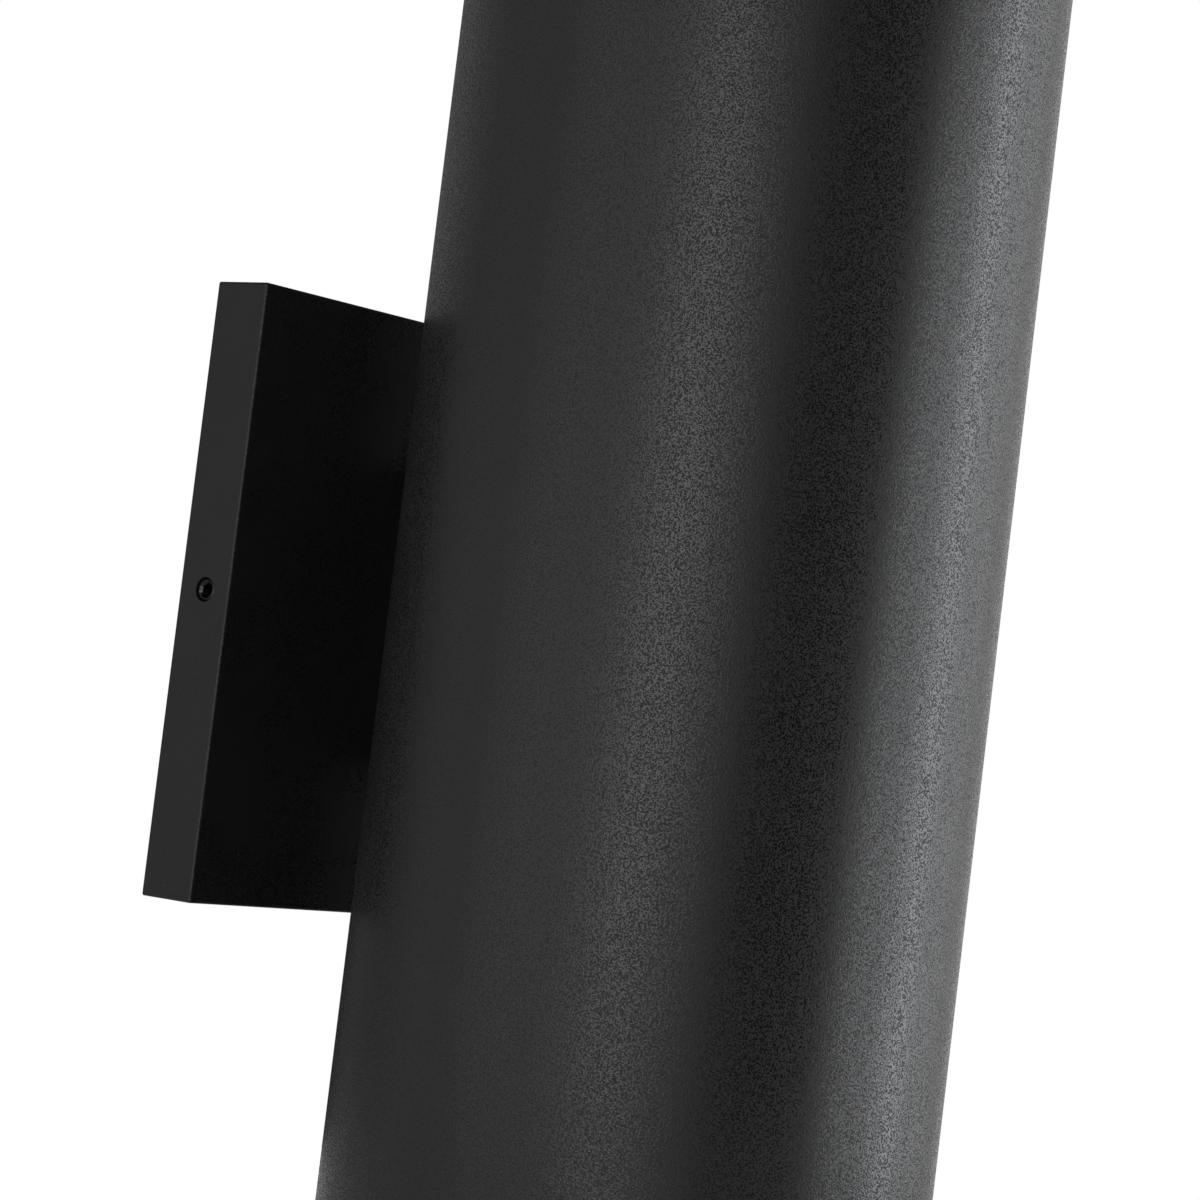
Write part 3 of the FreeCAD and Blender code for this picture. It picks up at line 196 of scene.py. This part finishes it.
def new_finish(name, metallic=0.0):
    """A material, its node tree and its Principled shader."""
    material = bpy.data.materials.new(name)
    material.use_nodes = True
    shader = material.node_tree.nodes["Principled BSDF"]
    shader.inputs["Metallic"].default_value = metallic
    return material, material.node_tree, shader


def powder_coat(name, glossiest, dullest, reflectance):
    """The sprayed skin, glossiest in the hollows between its pebbles and dullest on their tops."""
    material, tree, shader = new_finish(name)
    pebbles = even_noise(tree, pebbles_per_metre, detail=1.5, roughness=0.55)
    grit = even_noise(tree, 3 * pebbles_per_metre, detail=1.0)
    clouds = even_noise(tree, 35, detail=3.0, roughness=0.6)
    depth = maths(tree, "ADD", maths(tree, "MULTIPLY", pebbles, 0.6), maths(tree, "MULTIPLY", clouds, 0.4))
    tint(tree, shader, span(tree, depth, 0.35, 0.65), coat_dark, coat_light, coat_worn)
    dullness = maths(tree, "ADD", span(tree, pebbles, 0.42, 0.58, glossiest, dullest),
                     span(tree, clouds, 0.3, 0.7, -0.02, 0.03))
    tree.links.new(dullness, shader.inputs["Roughness"])
    relief = maths(tree, "ADD", pebbles, maths(tree, "MULTIPLY", grit, 0.25))
    raise_skin(tree, shader, relief, pebble_height)
    shader.inputs["Specular IOR Level"].default_value = reflectance
    return material


def dress(material, *nodes):
    """Put a finish on the CAD nodes that are made with it."""
    for node in nodes:
        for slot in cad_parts[node].material_slots:
            slot.material = material


def both_ends(piece):
    """The node names of a piece that is in the upper and in the lower end of the tube."""
    return [f"{end}_{piece}" for end in ends]


dress(powder_coat("tube_powder_coat", glossiest=0.02, dullest=0.66, reflectance=0.45),
      "tube", *both_ends("bezel"))

# The cast canopy and saddle take the powder more evenly than the long extruded tube, and
# shine a little less.
dress(powder_coat("canopy_powder_coat", glossiest=0.27, dullest=0.46, reflectance=0.35),
      "canopy", "saddle")


# ---------------------------------------------------------------- set screws
# One hex-socket set screw in the middle of each side of the canopy, of blackened steel like
# the bezels' small screws. The thread is rolled; the socket is broached and its floor is
# left as the drill's cone.

screw_pitch = 0.8 * mm
thread_depth = 0.32 * mm
tip_chamfer = 0.55 * mm
run_in_depth = 0.6 * thread_depth
run_in_rise = 0.7 * tip_chamfer
end_chamfer = 0.5 * mm
end_fall = 0.3 * mm
socket_across = 2.5 * mm
socket_depth = 3.0 * mm
mouth_width = 0.36 * mm
mouth_fall = 0.36 * mm
cone_per_corner = 0.5
half_side = math.pi / 6
spin_steps = 72
smooth_up_to = math.radians(28)
oxide_black = (0.020, 0.020, 0.022)
oxide_brown = (0.042, 0.040, 0.040)
rubbed_steel = (0.62, 0.59, 0.55)

# Where the thread's crest and root start and end, as shares of its pitch.
crest_start, crest_end = 0.1, 0.25
root_start, root_end = 0.6, 0.7


def polish(tree, shader, mask, glossiest, dullest, low=0.3, high=0.7):
    """Roughness from the glossiest to the dullest as a mask goes from low to high."""
    tree.links.new(span(tree, mask, low, high, glossiest, dullest), shader.inputs["Roughness"])


def black_oxide_finish():
    """Blackened steel, rubbed bright in short runs along its sharp edges."""
    material, tree, shader = new_finish("black_oxide", metallic=0.9)
    clouds = even_noise(tree, 900, detail=3.0, roughness=0.6)
    tint(tree, shader, clouds, oxide_black, oxide_brown, rubbed_steel, runs=350.0)
    polish(tree, shader, clouds, glossiest=0.12, dullest=0.24)
    raise_skin(tree, shader, even_noise(tree, 6000), 0.004 * mm)
    return material


def screw_profile(radius, length, corner):
    """Half section from the tip, up the V thread, over the end and down the round socket."""
    points = [(0, 0), (radius - tip_chamfer, 0), (radius - run_in_depth, run_in_rise)]
    height = tip_chamfer
    while height < length - end_fall - screw_pitch:
        points.append((radius, height + crest_start * screw_pitch))
        points.append((radius, height + crest_end * screw_pitch))
        points.append((radius - thread_depth, height + root_start * screw_pitch))
        points.append((radius - thread_depth, height + root_end * screw_pitch))
        height += screw_pitch
    points.append((radius, length - end_fall))
    points.append((radius - end_chamfer, length))
    points.append((corner + mouth_width, length))
    points.append((corner, length - mouth_fall))
    points.append((corner, length - socket_depth))
    points.append((0, length - socket_depth - cone_per_corner * corner))
    return points


def set_screw(name, material):
    """Lathe a screw along X and press the wall of its round socket into six sides."""
    low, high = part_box(name)
    outward = 1 if high.x > 0 else -1
    corner = socket_across / math.sqrt(3)
    shape = bmesh.new()
    profile = screw_profile((high.z - low.z) / 2, high.x - low.x, corner)
    chain = [shape.verts.new((reach, 0, height)) for reach, height in profile]
    lines = [shape.edges.new(pair) for pair in zip(chain, chain[1:])]
    bmesh.ops.spin(shape, geom=chain + lines, cent=(0, 0, 0), axis=(0, 0, 1), angle=2 * math.pi,
                   steps=spin_steps, use_merge=True, use_duplicate=False)
    bmesh.ops.remove_doubles(shape, verts=shape.verts, dist=0.001 * mm)
    bmesh.ops.recalc_face_normals(shape, faces=shape.faces)
    for vert in shape.verts:
        if abs(vert.co.xy.length - corner) < 0.01 * mm:
            off_flat = math.atan2(vert.co.y, vert.co.x) % (2 * half_side) - half_side
            pull = math.cos(half_side) / math.cos(off_flat)
            bmesh.ops.scale(shape, vec=(pull, pull, 1), verts=[vert])
    for edge in shape.edges:
        edge.smooth = edge.calc_face_angle(0) < smooth_up_to
    for face in shape.faces:
        face.smooth = True
    tip = Vector((low.x if outward > 0 else high.x, (low.y + high.y) / 2, (low.z + high.z) / 2))
    turn = Matrix.Rotation(outward * math.pi / 2, 4, "Y")
    bmesh.ops.transform(shape, matrix=Matrix.Translation(tip) @ turn, verts=shape.verts)
    mesh = bpy.data.meshes.new(name + "_threaded")
    shape.to_mesh(mesh)
    shape.free()
    piece = bpy.data.objects.new(name + "_threaded", mesh)
    bpy.context.scene.collection.objects.link(piece)
    mesh.materials.append(material)
    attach(piece, name)
    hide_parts(name)


black_oxide = black_oxide_finish()
for side in ("left", "right"):
    set_screw(f"set_screw_{side}", black_oxide)
dress(black_oxide, *both_ends("bezel_screws"))


# ---------------------------------------------------------------- sheet brackets
# The wall bracket and the hat-shaped driver bracket, pressed from steel sheet and then
# zinc plated with a clear blue passivation that leaves faint yellowish clouds.

zinc_bluish = (0.50, 0.53, 0.57)
zinc_yellowish = (0.62, 0.60, 0.53)
zinc_rubbed = (0.72, 0.72, 0.72)


def zinc_sheet():
    """Plated sheet: clouds in the passivation over the lines that rolling left up and down."""
    material, tree, shader = new_finish("zinc_plated_sheet", metallic=1.0)
    clouds = even_noise(tree, 55, detail=4.0, roughness=0.6, distortion=0.8)
    rolled = noise(tree, stretched_place(tree, 2600, 2600, 60))
    tint(tree, shader, span(tree, clouds, 0.35, 0.65), zinc_bluish, zinc_yellowish, zinc_rubbed)
    dullness = maths(tree, "ADD", span(tree, clouds, 0.3, 0.7, 0.24, 0.36),
                     maths(tree, "MULTIPLY", rolled, 0.12))
    tree.links.new(dullness, shader.inputs["Roughness"])
    raise_skin(tree, shader, rolled, 0.006 * mm)
    return material


dress(zinc_sheet(), "wall_bracket", "driver_bracket")


# ---------------------------------------------------------------- plated fasteners
# Bright zinc-plated screws, nuts, the threaded wire nipple and the tie rods, cut and
# rolled from steel. The earth screw is the same but dyed green.

zinc_grey = (0.55, 0.56, 0.58)
zinc_bright = (0.68, 0.67, 0.64)
dye_dark = (0.012, 0.16, 0.045)
dye_light = (0.03, 0.26, 0.08)
dye_worn = (0.5, 0.6, 0.5)


def bright_zinc():
    """Plain zinc plate with a fine grain."""
    material, tree, shader = new_finish("plated_fastener", metallic=1.0)
    clouds = even_noise(tree, 400, detail=3.0, roughness=0.6)
    tint(tree, shader, clouds, zinc_grey, zinc_bright)
    polish(tree, shader, clouds, glossiest=0.22, dullest=0.34)
    raise_skin(tree, shader, even_noise(tree, 5000), 0.004 * mm)
    return material


def green_dye():
    """Zinc plate under a green dye, rubbed off along the edges of the head."""
    material, tree, shader = new_finish("green_screw", metallic=0.8)
    clouds = even_noise(tree, 600, detail=3.0, roughness=0.6)
    tint(tree, shader, clouds, dye_dark, dye_light, dye_worn, width=0.2 * mm)
    polish(tree, shader, clouds, glossiest=0.25, dullest=0.38)
    raise_skin(tree, shader, clouds, 0.01 * mm)
    return material


dress(bright_zinc(), "saddle_screws", "wire_nipple", "nipple_nut", "terminal_screws", "bracket_screws",
      "driver_screws", "tie_rods", "tie_rod_nuts", *both_ends("holder_screws"))
dress(green_dye(), "ground_screw")


# ---------------------------------------------------------------- bare aluminium inside
# The finned end castings are bead-blasted die castings; the backing plate is an extrusion
# with die lines along its length.

cast_dark = (0.44, 0.44, 0.45)
cast_light = (0.58, 0.58, 0.57)
cast_rubbed = (0.75, 0.75, 0.75)
extruded_dark = (0.52, 0.52, 0.53)
extruded_light = (0.66, 0.66, 0.66)


def blasted_casting():
    """Cast aluminium with the fine dimples that the blasting beads leave."""
    material, tree, shader = new_finish("cast_aluminium", metallic=1.0)
    dimples = even_noise(tree, 1800, detail=3.0, roughness=0.6)
    clouds = even_noise(tree, 45, detail=3.0, roughness=0.6)
    tint(tree, shader, clouds, cast_dark, cast_light, cast_rubbed)
    polish(tree, shader, dimples, glossiest=0.42, dullest=0.58)
    raise_skin(tree, shader, dimples, 0.03 * mm)
    return material


def bare_extrusion():
    """Extruded aluminium as it leaves the die, lined up and down."""
    material, tree, shader = new_finish("extruded_aluminium", metallic=1.0)
    die_lines = noise(tree, stretched_place(tree, 3000, 3000, 12))
    tint(tree, shader, die_lines, extruded_dark, extruded_light)
    polish(tree, shader, die_lines, glossiest=0.28, dullest=0.42)
    raise_skin(tree, shader, die_lines, 0.01 * mm)
    return material


dress(blasted_casting(), *both_ends("heat_sink"))
dress(bare_extrusion(), "backing_plate")


# ---------------------------------------------------------------- reflectors
# Spun from high-purity aluminium sheet and bright anodised, one in each cup. The
# spinning tool leaves very fine rings round the cone.

spun_dark = (0.80, 0.81, 0.82)
spun_light = (0.90, 0.90, 0.90)


def spun_sheet():
    """Bright anodised sheet with the spinning tool's rings, which lie level one above another."""
    material, tree, shader = new_finish("spun_reflector", metallic=1.0)
    rings = noise(tree, stretched_place(tree, 4, 4, 1400))
    haze = even_noise(tree, 60, detail=3.0, roughness=0.6)
    tint(tree, shader, rings, spun_dark, spun_light)
    polish(tree, shader, haze, glossiest=0.14, dullest=0.22)
    raise_skin(tree, shader, rings, 0.012 * mm)
    return material


dress(spun_sheet(), *both_ends("reflector"))


# ---------------------------------------------------------------- lenses
# Flat tempered glass discs with ground edges, held against a gasket by the bezels. The
# glass lets most of the light through to what lies below, so its shadow is thin.

glass_greenish = (0.96, 0.985, 0.975)
glass_clear = (0.985, 0.995, 0.99)
shadow_cleared = 0.9


def lens_glass():
    """Clear glass with faint smudges, which casts nearly no shadow."""
    material, tree, shader = new_finish("clear_glass")
    smudges = even_noise(tree, 40, detail=4.0, roughness=0.7, distortion=0.5)
    tint(tree, shader, smudges, glass_greenish, glass_clear)
    polish(tree, shader, smudges, glossiest=0.0, dullest=0.05, low=0.5, high=0.75)
    shader.inputs["Transmission Weight"].default_value = 1.0
    shader.inputs["IOR"].default_value = 1.5
    ray = tree.nodes.new("ShaderNodeLightPath")
    cleared = maths(tree, "MULTIPLY", ray.outputs["Is Shadow Ray"], shadow_cleared)
    tree.links.new(maths(tree, "SUBTRACT", 1.0, cleared), shader.inputs["Alpha"])
    raise_skin(tree, shader, smudges, 0.001 * mm, strength=0.2)
    return material


dress(lens_glass(), *both_ends("lens"))


# ---------------------------------------------------------------- gaskets
# A black silicone ring under each lens, and a black closed-cell foam frame that seals
# the canopy to the wall.

silicone_black = (0.022, 0.022, 0.022)
silicone_dusty = (0.045, 0.045, 0.044)
foam_wall = (0.045, 0.045, 0.047)
# Painted shade for the foam's cut cells, not a colour of the foam itself.
foam_painted_shade = (0.018, 0.018, 0.019)


def silicone():
    """Moulded silicone, which holds dust."""
    material, tree, shader = new_finish("silicone_gasket")
    dust = even_noise(tree, 300, detail=4.0, roughness=0.7)
    tint(tree, shader, dust, silicone_black, silicone_dusty)
    polish(tree, shader, dust, glossiest=0.45, dullest=0.6)
    raise_skin(tree, shader, dust, 0.02 * mm)
    return material


def foam():
    """Closed cells of about half a millimetre, cut open at the surface. The darker colour is painted shade,
    growing towards each cell's rim.
    """
    material, tree, shader = new_finish("foam_gasket")
    cells = tree.nodes.new("ShaderNodeTexVoronoi")
    cells.inputs["Scale"].default_value = 1.0
    tree.links.new(stretched_place(tree, 2200, 2200, 2200), cells.inputs["Vector"])
    tint(tree, shader, cells.outputs["Distance"], foam_wall, foam_painted_shade)
    polish(tree, shader, cells.outputs["Distance"], glossiest=0.85, dullest=0.95, low=0.0, high=0.8)
    raise_skin(tree, shader, cells.outputs["Distance"], 0.15 * mm)
    return material


dress(silicone(), *both_ends("lens_gasket"))
dress(foam(), "canopy_gasket")


# ---------------------------------------------------------------- light engines
# A white alumina board with a round field of yellow phosphor over its chips, clamped by
# a moulded white holder, at the bottom of each reflector.

holder_dark = (0.72, 0.72, 0.70)
holder_light = (0.80, 0.80, 0.78)
alumina_dark = (0.78, 0.78, 0.77)
alumina_light = (0.88, 0.88, 0.87)
phosphor_dark = (0.86, 0.58, 0.10)
phosphor_light = (0.92, 0.66, 0.16)
chip_shade = (0.78, 0.47, 0.06)
chip_pitch = 1.4 * mm


def moulding(name, dark, light, glossiest, dullest):
    """A moulded plastic with a spark-eroded skin and faint flow clouds."""
    material, tree, shader = new_finish(name)
    flow = even_noise(tree, 70, detail=3.0, roughness=0.6, distortion=0.6)
    worn = tuple(min(1.0, 1.15 * part + 0.02) for part in light)
    tint(tree, shader, flow, dark, light, worn)
    polish(tree, shader, flow, glossiest, dullest)
    raise_skin(tree, shader, even_noise(tree, 3500), 0.012 * mm)
    return material


def alumina():
    """White ceramic with a fine fired grain."""
    material, tree, shader = new_finish("led_ceramic")
    grain = even_noise(tree, 2500, detail=3.0)
    tint(tree, shader, grain, alumina_dark, alumina_light)
    polish(tree, shader, grain, glossiest=0.3, dullest=0.45)
    raise_skin(tree, shader, grain, 0.004 * mm)
    return material


def phosphor():
    """Yellow phosphor; the rows of chips under it show through as slightly darker squares."""
    material, tree, shader = new_finish("led_phosphor")
    chips = tree.nodes.new("ShaderNodeTexVoronoi")
    chips.distance = "CHEBYCHEV"
    chips.inputs["Scale"].default_value = 1.0
    chips.inputs["Randomness"].default_value = 0.0
    tree.links.new(stretched_place(tree, 1 / chip_pitch, 1 / chip_pitch, 0), chips.inputs["Vector"])
    powder = even_noise(tree, 2500, detail=3.0, roughness=0.6)
    between_chips = blend_colours(tree, powder, phosphor_dark, phosphor_light)
    tint(tree, shader, span(tree, chips.outputs["Distance"], 0.2, 0.34), chip_shade, between_chips)
    polish(tree, shader, powder, glossiest=0.25, dullest=0.38)
    raise_skin(tree, shader, powder, 0.01 * mm)
    return material


dress(moulding("white_moulding", holder_dark, holder_light, glossiest=0.35, dullest=0.45),
      *both_ends("led_holder"))
dress(alumina(), *both_ends("led_board"))
dress(phosphor(), *both_ends("led_dome"))


# ---------------------------------------------------------------- driver, terminals and leads
# The driver's case and the terminal block are moulded. The supply leads are black, white
# and green, and each light engine is fed by a black and a red one.

case_dark = (0.60, 0.60, 0.58)
case_light = (0.68, 0.68, 0.66)
terminal_dark = (0.09, 0.09, 0.095)
terminal_light = (0.14, 0.14, 0.145)
lead_black = (0.012, 0.012, 0.012)
lead_white = (0.72, 0.72, 0.70)
lead_green = (0.02, 0.22, 0.06)
lead_red = (0.42, 0.012, 0.010)
lead_grime = (0.08, 0.08, 0.08)
middle_lead_reach = 1.35 * mm


def insulation(name, left, middle, right, reach):
    """Lead insulation, coloured by where each lead runs: the middle colour reaches that far out."""
    material, tree, shader = new_finish(name)
    place = tree.nodes.new("ShaderNodeTexCoord")
    apart = tree.nodes.new("ShaderNodeSeparateXYZ")
    tree.links.new(place.outputs["Object"], apart.inputs[0])
    colour = blend_colours(tree, maths(tree, "GREATER_THAN", apart.outputs["X"], -reach), left, middle)
    colour = blend_colours(tree, maths(tree, "GREATER_THAN", apart.outputs["X"], reach), colour, right)
    grime = even_noise(tree, 900, detail=3.0, roughness=0.6)
    tint(tree, shader, span(tree, grime, 0.35, 0.65, 0.0, 0.25), colour, lead_grime)
    polish(tree, shader, grime, glossiest=0.3, dullest=0.42)
    raise_skin(tree, shader, grime, 0.02 * mm)
    return material


dress(moulding("driver_case", case_dark, case_light, glossiest=0.38, dullest=0.5), "driver")
dress(moulding("terminal_moulding", terminal_dark, terminal_light, glossiest=0.30, dullest=0.45),
      "terminal_block")
dress(insulation("supply_insulation", lead_black, lead_white, lead_green, middle_lead_reach),
      "supply_leads")
dress(insulation("module_insulation", lead_black, lead_black, lead_red, 0.0), *both_ends("led_leads"))


# ---------------------------------------------------------------- floor and backdrop
# A pale studio floor just below the light, and a white panel behind it as the camera sees
# it, which also fills the reflections on its far side.

floor_gap = 0.3 * mm
floor_radius = 0.34
floor_middle_out = -70 * mm
panel_width = 2.2
panel_height = 2.6
panel_distance = 1.9
panel_heading = 101
paper_shade = (0.80, 0.80, 0.80)
paper_light = (0.84, 0.84, 0.84)


def paper(name, seen, mirrored):
    """Matt white paper that is clear to a camera behind it.

    A camera in front sees it with one share of plain white added, a mirror with another.
    """
    material, tree, shader = new_finish(name)
    fibres = even_noise(tree, 500, detail=3.0)
    tint(tree, shader, fibres, paper_shade, paper_light)
    polish(tree, shader, fibres, glossiest=0.85, dullest=0.95, low=0.0, high=1.0)
    shader.inputs["Specular IOR Level"].default_value = 0.0
    ray = tree.nodes.new("ShaderNodeLightPath")
    sight = maths(tree, "ADD", ray.outputs["Is Camera Ray"], ray.outputs["Is Transmission Ray"], clamp=True)
    glow = maths(tree, "ADD", maths(tree, "MULTIPLY", sight, seen),
                 maths(tree, "MULTIPLY", ray.outputs["Is Glossy Ray"], mirrored))
    tree.links.new(glow, shader.inputs["Emission Strength"])
    shader.inputs["Emission Color"].default_value = (1, 1, 1, 1)
    side = tree.nodes.new("ShaderNodeNewGeometry")
    from_behind = maths(tree, "MULTIPLY", ray.outputs["Is Camera Ray"], side.outputs["Backfacing"])
    tree.links.new(maths(tree, "SUBTRACT", 1.0, from_behind), shader.inputs["Alpha"])
    return material


def stage_piece(name, shape, material):
    """A piece of the studio, which isn't part of the light."""
    mesh = bpy.data.meshes.new(name)
    shape.to_mesh(mesh)
    shape.free()
    piece = bpy.data.objects.new(name, mesh)
    bpy.context.scene.collection.objects.link(piece)
    mesh.materials.append(material)


def heading(angle, rise=0.0):
    """Unit vector away from the light; 0 degrees is straight out from the wall, 90 its +X side."""
    angle, rise = math.radians(angle), math.radians(rise)
    return Vector((math.sin(angle) * math.cos(rise), -math.cos(angle) * math.cos(rise), math.sin(rise)))


tube_low, tube_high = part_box("tube")
tube_axis = Vector(((tube_low.x + tube_high.x) / 2, (tube_low.y + tube_high.y) / 2, 0))


def facing(angle, distance, rise=0.0):
    """Where something stands on a heading, turned to face the tube."""
    away = heading(angle, rise)
    turn = away.to_track_quat("Z", "Y").to_matrix().to_4x4()
    return Matrix.Translation(tube_axis + away * distance) @ turn


disc = bmesh.new()
bmesh.ops.create_circle(disc, cap_ends=True, segments=128, radius=floor_radius,
                        matrix=Matrix.Translation((0, floor_middle_out, cad_low[2] - floor_gap)))
stage_piece("floor", disc, paper("floor_paper", seen=0.72, mirrored=0.13))

panel = bmesh.new()
panel_size = Matrix.Diagonal((panel_width, panel_height, 1, 1))
bmesh.ops.create_grid(panel, x_segments=1, y_segments=1, size=0.5,
                      matrix=facing(panel_heading, panel_distance) @ panel_size)
stage_piece("backdrop", panel, paper("backdrop_paper", seen=1.0, mirrored=0.30))


# ---------------------------------------------------------------- lamps and world
# Large soft boxes stand round the light: two bright ones on its right, narrow ones by the
# camera and dim ones on the left. The brightness of each is what a mirror would show.

camera_heading = -51.27
warm = (1.0, 0.975, 0.985)
cool = (0.965, 0.98, 1.0)
room_dim = 0.02


def softbox(name, angle, spread, brightness, rise=0.0, distance=1.6, height=2.0, mirrored=True,
            colour=(1.0, 1.0, 1.0)):
    """A rectangular soft box; angle, spread and rise are in degrees as seen from the tube."""
    data = bpy.data.lights.new(name, "AREA")
    data.shape = "RECTANGLE"
    data.size = 2 * distance * math.tan(math.radians(spread / 2))
    data.size_y = height
    data.energy = brightness * math.pi * data.size * data.size_y
    data.color = colour
    lamp = bpy.data.objects.new(name, data)
    bpy.context.scene.collection.objects.link(lamp)
    lamp.matrix_world = facing(angle, distance, rise)
    lamp.visible_camera = False
    lamp.visible_glossy = mirrored
    return lamp


softbox("camera_box", camera_heading - 12, spread=14, brightness=2.34, rise=4, height=0.8)
softbox("camera_side_box", camera_heading + 2, spread=14, brightness=1.22, rise=4, height=0.8)
softbox("camera_halo", camera_heading - 6, spread=54, brightness=0.42, rise=4, height=1.5)
softbox("left_box", camera_heading - 40, spread=60, brightness=0.48, colour=warm)
softbox("left_halo", camera_heading - 60, spread=90, brightness=0.31, colour=warm)
softbox("far_left_box", camera_heading - 85, spread=130, brightness=0.12, colour=warm)
softbox("behind_left_box", camera_heading - 145, spread=70, brightness=0.16, rise=25, height=1.1,
        colour=warm)
softbox("right_front_box", camera_heading + 78, spread=14, brightness=3.70, rise=-9, height=1.65,
        colour=cool)
softbox("right_box", camera_heading + 102, spread=14, brightness=3.90, rise=-6, height=1.75,
        colour=cool)
softbox("right_halo", camera_heading + 110, spread=44, brightness=1.48, colour=cool)
softbox("back_fill", 180, spread=80, brightness=0.6, mirrored=False)
softbox("overhead_fill", 0, spread=60, brightness=0.5, rise=85, mirrored=False)

# The lower mouth faces the floor, so it has a lamp of its own that the floor doesn't stop.
under_fill = softbox("under_fill", 0, spread=40, brightness=0.9, rise=-85, height=1.2)
lower_mouth = bpy.data.collections.new("lower_mouth")
for piece in ("bezel", "bezel_screws", "lens", "lens_gasket", "reflector", "led_holder", "led_board",
              "led_dome"):
    lower_mouth.objects.link(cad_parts["lower_" + piece])
under_fill.light_linking.receiver_collection = lower_mouth
under_fill.light_linking.blocker_collection = lower_mouth

# The world is white where the camera looks, also through glass, and a dim room elsewhere.
world = bpy.data.worlds.new("studio")
world.use_nodes = True
bpy.context.scene.world = world
room = world.node_tree
ray = room.nodes.new("ShaderNodeLightPath")
sight = maths(room, "ADD", ray.outputs["Is Camera Ray"], ray.outputs["Is Transmission Ray"], clamp=True)
strength = maths(room, "ADD", maths(room, "MULTIPLY", sight, 1 - room_dim), room_dim)
room.nodes["Background"].inputs["Color"].default_value = (1, 1, 1, 1)
room.links.new(strength, room.nodes["Background"].inputs["Strength"])


# ---------------------------------------------------------------- camera
# A long lens close to the left of the canopy, rolled a little. It looks along the heading
# that the soft boxes are set out from.

camera_place = Vector((-586.52, -529.22, -23.27)) * mm
camera_rise = 2.4035
camera_roll = 6.9315
camera_lens = 108.163
sensor_width = 36

forward = -heading(camera_heading, -camera_rise)
level_right = forward.cross(Vector((0, 0, 1))).normalized()
level_up = level_right.cross(forward)
roll = math.radians(camera_roll)
right = level_right * math.cos(roll) + level_up * math.sin(roll)
up = level_up * math.cos(roll) - level_right * math.sin(roll)
camera_data = bpy.data.cameras.new("camera")
camera_data.lens = camera_lens
camera_data.sensor_width = sensor_width
camera = bpy.data.objects.new("camera", camera_data)
camera_turn = Matrix((right, up, -forward)).transposed().to_4x4()
camera.matrix_world = Matrix.Translation(camera_place) @ camera_turn
scene = bpy.context.scene
scene.collection.objects.link(camera)
scene.camera = camera
scene.view_settings.view_transform = "Standard"
